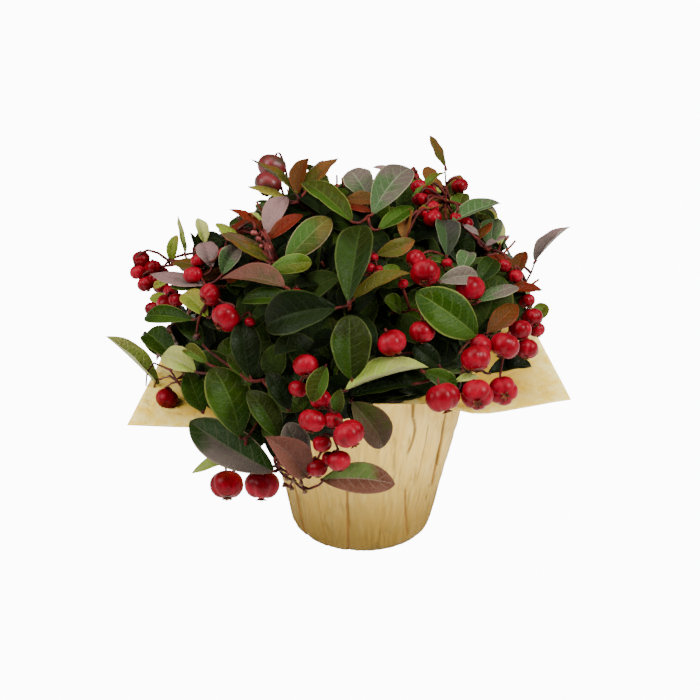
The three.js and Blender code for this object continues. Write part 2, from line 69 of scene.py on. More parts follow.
lens = bpy.data.cameras.new("camera")
lens.sensor_width = SENSOR
lens.lens = SENSOR * EYE_DISTANCE / (PIXEL * PHOTO_SIDE)
lens.clip_start = 0.05
camera = bpy.data.objects.new("camera", lens)
bpy.context.scene.collection.objects.link(camera)
camera_turn = Matrix((VIEW_RIGHT, VIEW_UP, VIEW_OUT)).transposed()
camera.matrix_world = Matrix.LocRotScale(Vector(EYE * MM), camera_turn, None)
bpy.context.scene.camera = camera


def in_sight(pixels, out):
    """The point on each pixel's line of sight that lies `out` in front of the target's plane."""
    pixels = np.asarray(pixels, float)
    right = (pixels[..., 0:1] - PHOTO_SIDE / 2) * PIXEL * VIEW_RIGHT
    up = (PHOTO_SIDE / 2 - pixels[..., 1:2]) * PIXEL * VIEW_UP
    share = 1 - np.asarray(out, float)[..., None] / EYE_DISTANCE
    return EYE + (right + up - EYE_DISTANCE * VIEW_OUT) * share


def pixel_of(points):
    """Where the camera sees each point, by its two distances from the axis over its depth."""
    away = points - EYE
    scale = EYE_DISTANCE / PIXEL / -(away @ VIEW_OUT)
    across = PHOTO_SIDE / 2 + (away @ VIEW_RIGHT) * scale
    return np.stack([across, PHOTO_SIDE / 2 - (away @ VIEW_UP) * scale], -1)


# Floor and light: a pale floor that the eye sees as an even white without shadows, a pale sky, a
# soft light from the right, a wide one overhead for the sheen on the leaves, and a wide one from the
# left.
FLOOR_SIDE = 8000
FLOOR_COLOUR = "f7f6f4"
FLOOR_GLOW = 12
SKY_STRENGTH = 0.2
# Each light: place, the size of its square, and its power in watts
LIGHTS = {
    "key": ((850, -480, 950), 500, 32),
    "overhead": ((-100, 0, 1500), 900, 17),
    "fill": ((-1000, -400, 1000), 900, 32),
}


def rgb(code):
    """The linear colour of a hexadecimal screen colour."""
    screen = np.array([int(code[i : i + 2], 16) / 255 for i in (0, 2, 4)])
    linear = np.where(screen <= 0.04045, screen / 12.92, ((screen + 0.055) / 1.055) ** 2.4)
    return (*linear, 1)


def add_node(tree, kind, inputs=None, **settings):
    """A node with its settings, and a value or a link for each named input."""
    node = tree.nodes.new(kind)
    for name, value in settings.items():
        setattr(node, name, value)
    for name, value in (inputs or {}).items():
        if isinstance(value, bpy.types.NodeSocket):
            tree.links.new(value, node.inputs[name])
        else:
            node.inputs[name].default_value = value
    return node


def new_material(name):
    """A material whose tree is left empty."""
    material = bpy.data.materials.new(name)
    material.use_nodes = True
    material.node_tree.nodes.clear()
    return material, material.node_tree


def noise(tree, scale, stretch=(1, 1, 1), detail=4, roughness=0.55):
    """Noise on the object's own coordinates, with `scale` cells a metre, drawn out along an axis."""
    place = add_node(tree, "ShaderNodeTexCoord").outputs["Object"]
    spread = add_node(tree, "ShaderNodeMapping", {"Vector": place, "Scale": stretch})
    inputs = {"Scale": scale, "Detail": detail, "Roughness": roughness}
    inputs["Vector"] = spread.outputs["Vector"]
    return add_node(tree, "ShaderNodeTexNoise", inputs).outputs["Fac"]


def mix(tree, share, first, second, blend="MIX"):
    """One colour turned into another by a share from 0 to 1."""
    inputs = {"Factor": share, 6: first, 7: second}
    node = add_node(tree, "ShaderNodeMix", inputs, data_type="RGBA", blend_type=blend)
    return node.outputs[2]


def ramp(tree, value, low, high, to_low=0.0, to_high=1.0):
    """A value carried smoothly from one range to another, and held at its ends."""
    inputs = {"Value": value, "From Min": low, "From Max": high, "To Min": to_low, "To Max": to_high}
    node = add_node(tree, "ShaderNodeMapRange", inputs, interpolation_type="SMOOTHSTEP")
    return node.outputs["Result"]


def bump(tree, height, strength, distance):
    """A bump node's normal; the distance is in millimetres."""
    inputs = {"Height": height, "Strength": strength, "Distance": distance * MM}
    return add_node(tree, "ShaderNodeBump", inputs).outputs["Normal"]


def finish_material(tree, **inputs):
    """The principled shader with these inputs, led to the output."""
    named = {name.replace("_", " "): value for name, value in inputs.items()}
    shader = add_node(tree, "ShaderNodeBsdfPrincipled", named)
    add_node(tree, "ShaderNodeOutputMaterial", {"Surface": shader.outputs["BSDF"]})


floor_material, tree = new_material("floor_paper")
seen = add_node(tree, "ShaderNodeLightPath").outputs["Is Camera Ray"]
lit = add_node(tree, "ShaderNodeBsdfDiffuse", {"Color": rgb(FLOOR_COLOUR)}).outputs["BSDF"]
glow = add_node(tree, "ShaderNodeEmission", {"Strength": FLOOR_GLOW}).outputs["Emission"]
floor_shader = add_node(tree, "ShaderNodeMixShader", {0: seen, 1: lit, 2: glow})
add_node(tree, "ShaderNodeOutputMaterial", {"Surface": floor_shader.outputs["Shader"]})
bpy.ops.mesh.primitive_plane_add(size=FLOOR_SIDE * MM, location=(0, 0, 0))
floor = bpy.context.object
floor.name = "floor"
floor.data.materials.append(floor_material)

sky = bpy.data.worlds.new("sky")
sky.use_nodes = True
sky.node_tree.nodes["Background"].inputs["Color"].default_value = (1, 1, 1, 1)
sky.node_tree.nodes["Background"].inputs["Strength"].default_value = SKY_STRENGTH
bpy.context.scene.world = sky

for light_name, (place, side, watts) in LIGHTS.items():
    light = bpy.data.lights.new(light_name, "AREA")
    light.size = side * MM
    light.energy = watts
    lamp = bpy.data.objects.new(light_name, light)
    lamp.location = Vector(place) * MM
    aim = Vector(TARGET * MM) - lamp.location
    lamp.rotation_euler = aim.to_track_quat("-Z", "Y").to_euler()
    bpy.context.scene.collection.objects.link(lamp)


# Paper cover: one square sheet of waxed kraft paper, pleated by hand into a tapered cup. Its
# corners flare out from the rim as a collar, and fold lines run down the cup where the paper laps.
FOOT_R = 36
RIM_R = 55
RIM_Z = 85
PAPER = 0.45
PLEAT_MEAN = 0.45
WALL_ROWS = 44
COLLAR_ROWS = 22
TURN_STEP = 0.75
WRINKLE = 0.8
WRINKLE_FOOT = 0.4
# How far the two lowest rows draw in, which rounds the foot
FOOT_ROUNDING = np.array([[1.4], [0.25]])
# The collar's outline as in the source, rounded at its low front corner: azimuth in degrees,
# reach from the axis, height
COLLAR_OUTLINE = np.array([
    (207, 126, 86),
    (243, 66, 84),
    (270, 59, 99),
    (302, 63.5, 95.6),
    (320, 69, 85.2),
    (327, 72.2, 82.6),
    (333, 80, 82.6),
    (345, 106, 84),
    (410, 110, 113),
    (495, 119, 100),
])
# The collar's own waves, and the power by which it lags behind on its way to the edge's height
COLLAR_RIPPLE = 1.2
COLLAR_WRINKLE = 0.35
COLLAR_LAG = 1.15
# Where the collar's front stands up from the rim before it turns out: azimuth, width and hump
LIP_AZIMUTH = 302
LIP_WIDTH = 15
LIP_HUMP = 4.5
# Where the collar dips between its front and its corner: azimuth, width and depth
DIP_AZIMUTH = 329
DIP_WIDTH = 9
DIP_DEPTH = 1.2
# Fold lines: azimuth at the foot, half way and at the rim, the stretch of height, and the depth
CREASES = [
    (332, 326, 322, 0.35, 1.0, 1.6),
    (181.4, 278.1, 297, 0.7, 1.0, 1.4),
    (258.5, 260.4, 262, 0.0, 0.8, 1.3),
    (262, 257.5, 250, 0.16, 0.42, 0.9),
    (313, 299, 301, 0.05, 0.5, 1.0),
    (291, 274.5, 258, 0.03, 0.3, 0.7),
    (306, 308, 309, 0.45, 0.95, 0.7),
    (240, 238, 236, 0.0, 0.55, 0.6),
    (310, 313, 312, 0.2, 0.6, 0.6),
    (291, 294, 290, 0.4, 0.7, 0.5),
    (214, 217, 219, 0.0, 1.0, 1.2),
    (184, 181, 176, 0.1, 1.0, 1.1),
    (150, 153, 156, 0.0, 0.8, 1.2),
    (121, 118, 119, 0.2, 1.0, 1.0),
    (88, 90, 84, 0.0, 1.0, 1.2),
    (55, 52, 57, 0.0, 0.7, 1.0),
    (24, 27, 22, 0.1, 1.0, 1.2),
    (350, 352, 355, 0.0, 0.9, 1.0),
]
# A lap sinks to its fold line slowly on one side and in a step on the other, and its ends fade
# over a share of the height. The laps on the cup's right face the other way.
LAP_SLOPE = 5
LAP_STEP = 0.7
LAP_SHARE = 0.75
LAP_FADE = 0.06
LINE_WIDTH = 0.35
FRONT_AZIMUTH = 270
# Points of a closed body that lie nearer than this are one
SAME_POINT = 0.0002


def collar_edge(turns):
    """Reach and height of the collar at each azimuth, on the straight side between two corners."""
    ends = np.vstack([COLLAR_OUTLINE[1:], COLLAR_OUTLINE[:1] + (360, 0, 0)])
    side = np.searchsorted(COLLAR_OUTLINE[:, 0], turns, side="right") - 1

    def corner(rows):
        azimuth = np.radians(rows[:, 0])
        flat = rows[:, 1:2] * np.stack([np.cos(azimuth), np.sin(azimuth)], -1)
        return np.hstack([flat, rows[:, 2:]])

    first = corner(COLLAR_OUTLINE[side])
    second = corner(ends[side])
    way = np.stack([np.cos(np.radians(turns)), np.sin(np.radians(turns))], -1)
    off_first = first[:, 0] * way[:, 1] - first[:, 1] * way[:, 0]
    off_second = second[:, 0] * way[:, 1] - second[:, 1] * way[:, 0]
    share = off_first / (off_first - off_second)
    edge = first + (second - first) * share[:, None]
    return np.hypot(edge[:, 0], edge[:, 1]), edge[:, 2]


def paper_wrinkles(turn, up, seed, waves, lowest, highest):
    """A sum of sine waves round the cup. Each drifts as it rises and comes and goes, and ridges are
    narrower than the hollows between them."""
    chances = np.random.default_rng(seed)
    total = np.zeros(np.broadcast(turn, up).shape)
    for count in chances.integers(lowest, highest, waves):
        drift = chances.uniform(0.5, 3.2) * np.sin(chances.uniform(3, 9) * up + chances.uniform(0, 6))
        along = chances.uniform(4, 11) * up + 2 * np.sin(3 * turn + chances.uniform(0, 6))
        swell = (0.5 + 0.5 * np.sin(along)) ** 1.5
        wave = np.sin(count * turn + drift + chances.uniform(0, 2 * np.pi))
        total += swell * (1 - 2 * np.abs(wave) ** 0.7)
    return total / np.sqrt(waves)


def lap_folds(turns, up, radius):
    """The cup's radius with its fold lines pressed in, and how near each point lies to one, which darkens
    the paper there as painted shade. A fold line's azimuth is a parabola of the height through its three
    places. Beside it the radius sinks by two exponentials of the distance, and the nearness is a bell
    curve of it."""
    line = np.zeros_like(radius)
    for foot, middle, rim, low, high, depth in CREASES:
        bend = 2 * (foot + rim) - 4 * middle
        azimuth = foot + (4 * middle - 3 * foot - rim) * up + bend * up**2
        off = ((turns[None] - azimuth + 180) % 360 - 180) * np.pi / 180 * radius
        begins = np.clip((up - low) / LAP_FADE + (low == 0), 0, 1)
        ends = np.clip((high - up) / LAP_FADE + (high == 1), 0, 1)
        fade = begins * ends
        near = -off if rim > FRONT_AZIMUTH else off
        lap = np.where(near > 0, np.exp(-near / LAP_SLOPE), np.exp(near / LAP_STEP))
        radius = radius - depth * LAP_SHARE * lap * fade
        width = LINE_WIDTH + LINE_WIDTH * depth
        line = np.maximum(line, np.exp(-((off / width) ** 2)) * fade * min(depth, 1))
    return radius, line


def flare_out(turns, out, lip, rim_r, reach, height):
    """Radius and height of the collar over azimuth and the share of the way out. It runs straight to
    the edge's reach and lags behind in height. At the lip it first rises and then turns out, as
    1 - (1 - out) ** 3 in height and out ** 3 in reach, over a hump. Beside it lies a dip. The
    ripple dies out at the edge, and the wrinkles grow towards it."""
    angle = np.radians(turns)[None]
    eased = out**COLLAR_LAG * (1 - lip) + (1 - (1 - out) ** 3) * lip
    collar_r = rim_r + (reach[None] - rim_r) * (out * (1 - lip) + out**3 * lip)
    ripple = COLLAR_RIPPLE * np.sin(7 * angle) * out * (1 - out)
    wrinkles = paper_wrinkles(angle, out, seed=8, waves=7, lowest=5, highest=24)
    ripple = ripple + COLLAR_WRINKLE * (wrinkles * np.sqrt(out * (1 - 0.5 * out)))
    collar_z = RIM_Z + (height[None] - RIM_Z) * eased + ripple + LIP_HUMP * lip * np.sin(np.pi * out)
    dip = np.exp(-(((angle * 180 / np.pi - DIP_AZIMUTH) / DIP_WIDTH) ** 2))
    collar_z = collar_z - DIP_DEPTH * dip * np.sin(np.pi * out)
    return np.stack([collar_r + 0 * collar_z, collar_z], -1)


def cover_points():
    """Radius and height of the sheet over azimuth and row, up the outside to the collar's edge and
    back inside, where it lies a paper's thickness square to the outside. Returns the grid and, for
    each point, how near it lies to a fold line, which darkens it as painted shade, and how far out it
    is on the collar's upper face. The painted shade of the fold lines runs on under the collar, and on
    top of it the lip takes half of it as painted shade."""
    ends = np.append(COLLAR_OUTLINE[1:, 0], COLLAR_OUTLINE[0, 0] + 360)
    turns = np.concatenate([
        np.linspace(low, high, round((high - low) / TURN_STEP), endpoint=False)
        for low, high in zip(COLLAR_OUTLINE[:, 0], ends)
    ])
    angle = np.radians(turns)[None]
    up = np.linspace(0, 1, WALL_ROWS)[:, None]
    radius = FOOT_R + (RIM_R - FOOT_R) * up - PLEAT_MEAN
    wrinkles = paper_wrinkles(angle, up, seed=3, waves=9, lowest=9, highest=46)
    radius = radius + WRINKLE * wrinkles * (WRINKLE_FOOT + (1 - WRINKLE_FOOT) * up)
    radius, line = lap_folds(turns, up, radius)
    wall = np.stack([radius, RIM_Z * up + 0 * radius], -1)
    wall[:2, :, 0] -= FOOT_ROUNDING
    reach, height = collar_edge(turns)
    out = np.linspace(0, 1, COLLAR_ROWS)[1:, None]
    lip = np.exp(-(((turns[None] - LIP_AZIMUTH) / LIP_WIDTH) ** 2))
    outside = np.concatenate([wall, flare_out(turns, out, lip, radius[-1][None], reach, height)])
    inside = outside[::-1].copy()
    rise = np.maximum(height - RIM_Z, 0)
    collar_steep = rise / np.hypot(rise, reach - RIM_R)
    steep = np.ones(inside.shape[:2])
    steep[: COLLAR_ROWS - 1] = collar_steep
    inside[..., 0] -= PAPER * steep
    inside[..., 1] += PAPER * np.sqrt(1 - steep**2)
    inside[-1, :, 1] = PAPER
    profile = np.concatenate([outside, inside])
    foot = np.zeros((1, len(turns), 2))
    top = foot + (0, PAPER)
    profile = np.concatenate([foot, profile, top])
    grid = np.stack([profile[..., 0] * np.cos(angle), profile[..., 0] * np.sin(angle), profile[..., 1]], -1)
    lines = np.zeros(grid.shape[:2])
    lines[1 : 1 + WALL_ROWS] = line
    lines[1 + WALL_ROWS : WALL_ROWS + COLLAR_ROWS] = line[-1]
    lines[-1 - WALL_ROWS : -1] = line[::-1]
    lines[WALL_ROWS + COLLAR_ROWS : -1 - WALL_ROWS] = 0.5 * lip
    flare = np.zeros(grid.shape[:2])
    flare[-WALL_ROWS - COLLAR_ROWS : -1 - WALL_ROWS] = out[::-1]
    return grid, lines, flare


def weave(grids, ring=False):
    """Points and quads of a stack of grids (count, rows, columns, 3): neighbours make a quad, and
    with ring the last column meets the first."""
    grids = grids if grids.ndim == 4 else grids[None]
    index = np.arange(np.prod(grids.shape[:3])).reshape(grids.shape[:3])
    if ring:
        index = np.concatenate([index, index[:, :, :1]], axis=2)
    corners = [index[:, :-1, :-1], index[:, :-1, 1:], index[:, 1:, 1:], index[:, 1:, :-1]]
    return grids.reshape(-1, 3), np.stack(corners, -1).reshape(-1, 4)


def add_piece(name, woven, material, nodes, closed=True, values=None, places=None):
    """One object from woven points and quads. Closed bodies have the doubles at their poles and
    ends merged. values are named numbers for each point, and places are UV places for each."""
    counts = np.cumsum([0] + [len(points) for points, _ in woven])
    points = np.concatenate([points for points, _ in woven])
    quads = np.concatenate([quads + start for (_, quads), start in zip(woven, counts)])
    mesh = bpy.data.meshes.new(name)
    mesh.vertices.add(len(points))
    mesh.vertices.foreach_set("co", (points * MM).astype(np.float32).ravel())
    mesh.loops.add(quads.size)
    mesh.loops.foreach_set("vertex_index", quads.astype(np.int32).ravel())
    mesh.polygons.add(len(quads))
    mesh.polygons.foreach_set("loop_start", np.arange(0, quads.size, 4, dtype=np.int32))
    mesh.update(calc_edges=True)
    mesh.polygons.foreach_set("use_smooth", np.ones(len(quads), bool))
    for key, numbers in (values or {}).items():
        layer = mesh.attributes.new(key, "FLOAT", "POINT")
        layer.data.foreach_set("value", np.asarray(numbers, np.float32).ravel())
    if places is not None:
        layer = mesh.uv_layers.new(name="UVMap")
        layer.data.foreach_set("uv", places[quads.ravel()].astype(np.float32).ravel())
    if closed:
        joined = bmesh.new()
        joined.from_mesh(mesh)
        bmesh.ops.remove_doubles(joined, verts=joined.verts, dist=SAME_POINT * MM)
        joined.to_mesh(mesh)
        joined.free()
    mesh.materials.append(material)
    piece = bpy.data.objects.new(name, mesh)
    bpy.context.scene.collection.objects.link(piece)
    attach(piece, "root")
    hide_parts(*nodes)


paper, tree = new_material("waxed_kraft_paper")
streaks = noise(tree, 300, (1, 1, 0.07), detail=6)
crumples = noise(tree, 150, (1, 1, 0.16), detail=3)
clouds = noise(tree, 34, (1, 1, 0.6), detail=3)
fibres = noise(tree, 1400, (1, 1, 0.3), detail=2)
height_z = add_node(
    tree, "ShaderNodeSeparateXYZ", {"Vector": add_node(tree, "ShaderNodeTexCoord").outputs["Object"]}
).outputs["Z"]
paper_colour = mix(tree, ramp(tree, streaks, 0.3, 0.7), rgb("dcb65a"), rgb("e8c974"))
paper_colour = mix(tree, ramp(tree, clouds, 0.35, 0.7, 0, 0.5), paper_colour, rgb("dcb450"))
# Painted shade: the cup is painted browner towards its foot, where less light falls on it.
paper_colour = mix(tree, ramp(tree, height_z, 0.0, 0.075, 0.95, 0.0), paper_colour, rgb("745a1c"))
flare = add_node(tree, "ShaderNodeAttribute", attribute_name="flare").outputs["Fac"]
# Painted shade: near the rim the collar's upper face is painted a darker gold, where the crown and berries
# shade it.
rim_painted_shade = add_node(
    tree,
    "ShaderNodeMath",
    {0: ramp(tree, flare, 0.0, 0.1), 1: ramp(tree, flare, 0.4, 1.0, 0.7, 0.0)},
    operation="MULTIPLY",
).outputs[0]
# Painted light: outwards from the rim the collar's upper face is painted a paler, brighter yellow than the
# wall, as it lies open to the light from above.
collar_painted_light = mix(tree, ramp(tree, crumples, 0.35, 0.65), rgb("ffe88c"), rgb("f4cc4c"))
paper_colour = mix(tree, ramp(tree, flare, 0.1, 0.95, 0.0, 0.95), paper_colour, collar_painted_light)
paper_colour = mix(tree, rim_painted_shade, paper_colour, rgb("bc8c00"))
# Painted shade: the paper is darkened along its fold lines, where the creases lie in shade, and half as much
# on the collar's lip.
crease_shade = add_node(tree, "ShaderNodeAttribute", attribute_name="crease_shade_line").outputs["Fac"]
paper_colour = mix(tree, ramp(tree, crease_shade, 0.15, 0.9, 0, 0.85), paper_colour, rgb("7d5520"))
crinkles = ramp(tree, noise(tree, 95, (1, 1, 0.22), detail=2), 0.38, 0.54)
crinkles = mix(tree, ramp(tree, noise(tree, 125, (1, 1, 0.3), detail=2), 0.6, 0.44), crinkles, (1, 1, 1, 1))
paper_relief = mix(tree, 0.5, mix(tree, 0.2, crumples, mix(tree, 0.3, streaks, fibres)), crinkles)
paper_relief = mix(tree, ramp(tree, flare, 0.0, 0.2, 0.0, 0.75), paper_relief, (0.5, 0.5, 0.5, 1))
finish_material(
    tree,
    Base_Color=paper_colour,
    Roughness=ramp(tree, clouds, 0.3, 0.7, 0.42, 0.58),
    Normal=bump(tree, paper_relief, 1.0, 3.0),
    Specular_IOR_Level=0.12,
)
cover_grid, crease_shade_lines, on_collar = cover_points()
add_piece(
    "cover_sheet",
    [weave(cover_grid, ring=True)],
    paper,
    ["paper_cover"],
    values={"crease_shade_line": crease_shade_lines, "flare": on_collar},
)


# Nursery pot: thin moulded plastic with a rolled lip, standing loose inside the cover.
POT_FOOT_R = 32.4
POT_RIM_R = 50.4
POT_WALL = 1.2
POT_LIP = 1.6
POT_LIP_DROP = 7
POT_Z = 1.1
POT_RIM_Z = 82
POT_EDGE = 0.5
POT_TURNS = 96


def spin(profile, turns, swell=None):
    """A surface of revolution: each radius and height of the profile at each turn, with an added
    swell of the radius and height where it is given."""
    angle = 2 * np.pi * np.arange(turns) / turns
    round_profile = np.repeat(np.asarray(profile, float)[:, None], turns, axis=1)
    if swell is not None:
        round_profile = round_profile + swell
    radius, height = round_profile[..., 0], round_profile[..., 1]
    return np.stack([radius * np.cos(angle), radius * np.sin(angle), height], -1)


def pot_radius(z):
    """The pot's outside radius at a height, straight from foot to rim."""
    return POT_FOOT_R + (POT_RIM_R - POT_FOOT_R) * (z - POT_Z) / (POT_RIM_Z - POT_Z)


lip_z = POT_RIM_Z - POT_LIP_DROP
lip_r = pot_radius(lip_z)
pot_profile = [
    (0, POT_Z),
    (POT_FOOT_R - 1, POT_Z),
    (POT_FOOT_R, POT_Z + 1),
    (lip_r - POT_LIP, lip_z),
    (lip_r - 0.3, lip_z + POT_EDGE),
    (lip_r, lip_z + POT_LIP),
    (POT_RIM_R, POT_RIM_Z - POT_EDGE),
    (POT_RIM_R - POT_EDGE, POT_RIM_Z),
    (POT_RIM_R - POT_WALL, POT_RIM_Z - 0.3),
    (lip_r - POT_LIP - POT_WALL, lip_z),
    (POT_FOOT_R - POT_WALL, POT_Z + POT_WALL),
    (0, POT_Z + POT_WALL),
]
plastic, tree = new_material("pot_plastic")
scuffs = noise(tree, 90, (1, 1, 0.3))
finish_material(
    tree,
    Base_Color=mix(tree, ramp(tree, scuffs, 0.35, 0.75), rgb("30231d"), rgb("4a372c")),
    Roughness=ramp(tree, scuffs, 0.3, 0.7, 0.38, 0.62),
    Normal=bump(tree, noise(tree, 700), 0.3, 0.1),
)
add_piece(
    "pot_shell",
    [weave(spin(pot_profile, POT_TURNS), ring=True)],
    plastic,
    ["nursery_pot"],
)


# Compost: dark peat with lumps of bark, heaped a little round the stem.
COMPOST_Z = 73
COMPOST_MOUND = 3
MOUND_SHARE = 0.4
COMPOST_FLOOR = 2.6
COMPOST_GAP = 0.4
COMPOST_TURNS = 120
COMPOST_ROWS = 46
LUMP = 1.1
LUMP_HEIGHT = 1.6


def compost_points():
    """A polar grid: the top runs out from the middle over the mound, a bell curve, with lumps, which
    are a random height for each point, evened out with its neighbours. The side then goes down to
    the floor."""
    chances = np.random.default_rng(21)
    lumps = chances.normal(0, 1, (COMPOST_ROWS, COMPOST_TURNS))
    for _ in range(2):
        lumps = (lumps + np.roll(lumps, 1, 1) + np.roll(lumps, -1, 1)) / 3
        lumps[1:-1] = (lumps[:-2] + lumps[1:-1] + lumps[2:]) / 3
    lumps[0] = 0
    edge_r = pot_radius(COMPOST_Z) - POT_LIP - POT_WALL - COMPOST_GAP
    share = np.linspace(0, 1, COMPOST_ROWS)
    mound = COMPOST_MOUND * np.exp(-((share / MOUND_SHARE) ** 2))
    top = np.stack([edge_r * share, COMPOST_Z - LUMP + mound], -1)
    floor_r = POT_FOOT_R - POT_WALL - 0.5
    under = [(floor_r, COMPOST_FLOOR), (0, COMPOST_FLOOR)]
    swell = np.zeros((COMPOST_ROWS + 2, COMPOST_TURNS, 2))
    swell[:COMPOST_ROWS, :, 1] = LUMP * LUMP_HEIGHT * lumps
    return spin(np.vstack([top, under])[::-1], COMPOST_TURNS, swell[::-1])


peat, tree = new_material("compost_peat")
crumbs = noise(tree, 420, detail=8, roughness=0.7)
finish_material(
    tree,
    Base_Color=mix(tree, ramp(tree, crumbs, 0.38, 0.7), rgb("120c09"), rgb("4b3422")),
    Roughness=ramp(tree, crumbs, 0.3, 0.7, 1.0, 0.8),
    Normal=bump(tree, crumbs, 0.9, 0.8),
)
add_piece(
    "compost_top",
    [weave(compost_points(), ring=True)],
    peat,
    ["compost"],
)


# Stem and boughs: one short woody stem, flared at the compost. A low tier of boughs leaves its
# side and an upper tier its top, and each tapers to the middle of the mass that it carries.
STEM_FOOT_R = 7.5
STEM_R = 4.6
STEM_Z = 91
STEM_FOOT_Z = 74.5
STEM_FLARE = 0.45
STEM_STEPS = 30
STEM_SIDES = 28
# Boughs start inside the stem. Those steeper than so many degrees form the upper tier, just below
# the stem's top, and the others start at a share of its height.
UPPER_ELEVATION = 30
UPPER_REACH = 3.9
UPPER_SUNK = 3
LOW_TIER = 0.72
BOUGH_SEAT = 0.6
BOUGH_R = 1.6
BOUGH_TIP_R = 1.1
BOUGH_RISE = 5
BOUGH_STEPS = 26
BOUGH_SIDES = 12
HUB_REACH = 0.5
STALK_LENGTH = 15
CROWN = np.array([0, 0, 105.0])
CROWN_R = 103
CROWN_TOP = 84
CROWN_SKIRT = 92
# The masses, by azimuth and elevation in degrees from the crown's middle
MASSES = {
    "top": (300, 82),
    "upper_front": (258, 42),
    "upper_right": (338, 40),
    "upper_back_right": (50, 42),
    "upper_back_left": (126, 42),
    "upper_left": (196, 42),
    "front": (268, 0),
    "front_right": (316, 2),
    "right": (0, 4),
    "back_right": (44, 16),
    "back": (90, 8),
    "back_left": (136, 10),
    "left": (184, 4),
    "front_left": (226, 0),
}
MASS_NODES = ["mass_" + name for name in MASSES]


def unit(vectors):
    """Each vector at length 1."""
    return vectors / np.maximum(np.linalg.norm(vectors, axis=-1, keepdims=True), 1e-9)


def on_dome(azimuth, elevation, share):
    """A place on the crown's dome, shrunk towards its middle by a share."""
    azimuth, elevation = np.radians(azimuth), np.radians(elevation)
    flat = np.cos(elevation) * CROWN_R * share
    rise = np.sin(elevation) * CROWN_TOP * share
    return np.array([flat * np.cos(azimuth), flat * np.sin(azimuth), rise]) + CROWN


def bend_through(start, middle, end, steps):
    """A quadratic curve from start to end that leans towards the middle point."""
    t = np.linspace(0, 1, steps + 1)[:, None]
    return (1 - t) ** 2 * start + 2 * t * (1 - t) * middle + t**2 * end


def tubes(paths, radii, sides, relief=0.0):
    """Round limbs: at each point of a path a ring square to it, at that point's radius. Ridges that
    wander round the limb swell and pinch it by the relief. A middle point closes each end."""
    paths = paths if paths.ndim == 3 else paths[None]
    radii = np.broadcast_to(radii, paths.shape[:2])
    way = unit(np.gradient(paths, axis=1))
    chord = unit(paths[:, -1] - paths[:, 0])
    steady = np.where(np.abs(chord[:, 2:3]) > 0.8, [[1.0, 0, 0]], [[0, 0, 1.0]])[:, None]
    across = unit(np.cross(np.broadcast_to(steady, way.shape), way))
    over = np.cross(way, across)
    turn = 2 * np.pi * np.arange(sides) / sides
    ring = across[:, :, None] * np.cos(turn)[:, None] + over[:, :, None] * np.sin(turn)[:, None]
    steps = np.linspace(0, 1, paths.shape[1])[None, :, None]
    first = np.arange(len(paths))[:, None, None] * 1.7
    ridges = np.sin(3 * turn + 4 * np.sin(9 * steps + first) + first)
    knots = np.sin(41 * steps + 2 * turn + first) * np.sin(17 * steps + first)
    swell = 1 + relief * (0.6 * ridges + 0.4 * knots)
    rings = paths[:, :, None] + ring * (radii[:, :, None] * swell)[..., None]
    ends = [np.repeat(paths[:, end, None, None], sides, axis=2) for end in (0, -1)]
    return np.concatenate([ends[0], rings, ends[1]], axis=1)


def boughs_of():
    """Each bough's curve from the stem to its hub, and the way it points at its hub."""
    curves, ways = {}, {}
    for name, (azimuth, elevation) in MASSES.items():
        upper = elevation > UPPER_ELEVATION
        side = np.array([np.cos(np.radians(azimuth)), np.sin(np.radians(azimuth)), 0])
        reach = 0 if name == "top" else (UPPER_REACH if upper else STEM_R) * BOUGH_SEAT
        foot = side * reach
        foot[2] = STEM_Z - UPPER_SUNK if upper else STEM_FOOT_Z + (STEM_Z - STEM_FOOT_Z) * LOW_TIER
        hub = on_dome(azimuth, elevation, HUB_REACH)
        middle = (foot + hub) / 2 + [0, 0, 0 if upper else BOUGH_RISE]
        curves[name] = bend_through(foot, middle, hub, BOUGH_STEPS)
        ways[name] = unit(hub - middle)
    return curves, ways


bark, tree = new_material("woody_bark")
plates = noise(tree, 240, (1, 1, 0.35), detail=6)
lichen = noise(tree, 60, detail=3)
bark_colour = mix(tree, ramp(tree, plates, 0.35, 0.7), rgb("4a2c20"), rgb("8a5c44"))
bark_colour = mix(tree, ramp(tree, lichen, 0.55, 0.75, 0, 0.5), bark_colour, rgb("9a8a70"))
finish_material(
    tree,
    Base_Color=bark_colour,
    Roughness=ramp(tree, plates, 0.3, 0.7, 0.95, 0.7),
    Normal=bump(tree, plates, 0.8, 0.5),
)
bough_curves, hub_ways = boughs_of()
stem_share = np.linspace(0, 1, STEM_STEPS)
stem_z = STEM_FOOT_Z + (STEM_Z - STEM_FOOT_Z) * stem_share
stem_path = np.stack([0 * stem_share, 0 * stem_share, stem_z], -1)
stem_radii = STEM_R + (STEM_FOOT_R - STEM_R) * np.clip(1 - stem_share / STEM_FLARE, 0, 1) ** 1.6
stem_radii[-2:] *= (0.85, 0.6)
add_piece(
    "stem_bark",
    [weave(tubes(stem_path, stem_radii[None], STEM_SIDES, relief=0.07), ring=True)],
    bark,
    ["stem"],
)
bough_radii = np.linspace(BOUGH_R, BOUGH_TIP_R, BOUGH_STEPS + 1)[None]
add_piece(
    "bough_bark",
    [weave(tubes(np.stack(list(bough_curves.values())), bough_radii, BOUGH_SIDES, relief=0.09), ring=True)],
    bark,
    ["bough_" + name for name in MASSES],
)


# Shoots: thin twigs that leave each mass's stalk by the golden share and end on the crown's dome.
# The front's end where the photograph shows a shoot. The others end on a spiral, and each of them
# carries three side shoots.
TWIG_R = 0.95
TWIG_TIP_R = 0.55
TWIG_STEPS = 10
TWIG_SIDES = 6
STALK_MIDDLE = 7
STALK_FORKED = 0.8
GOLDEN_SHARE = 0.618
GOLDEN_TURN = 137.508
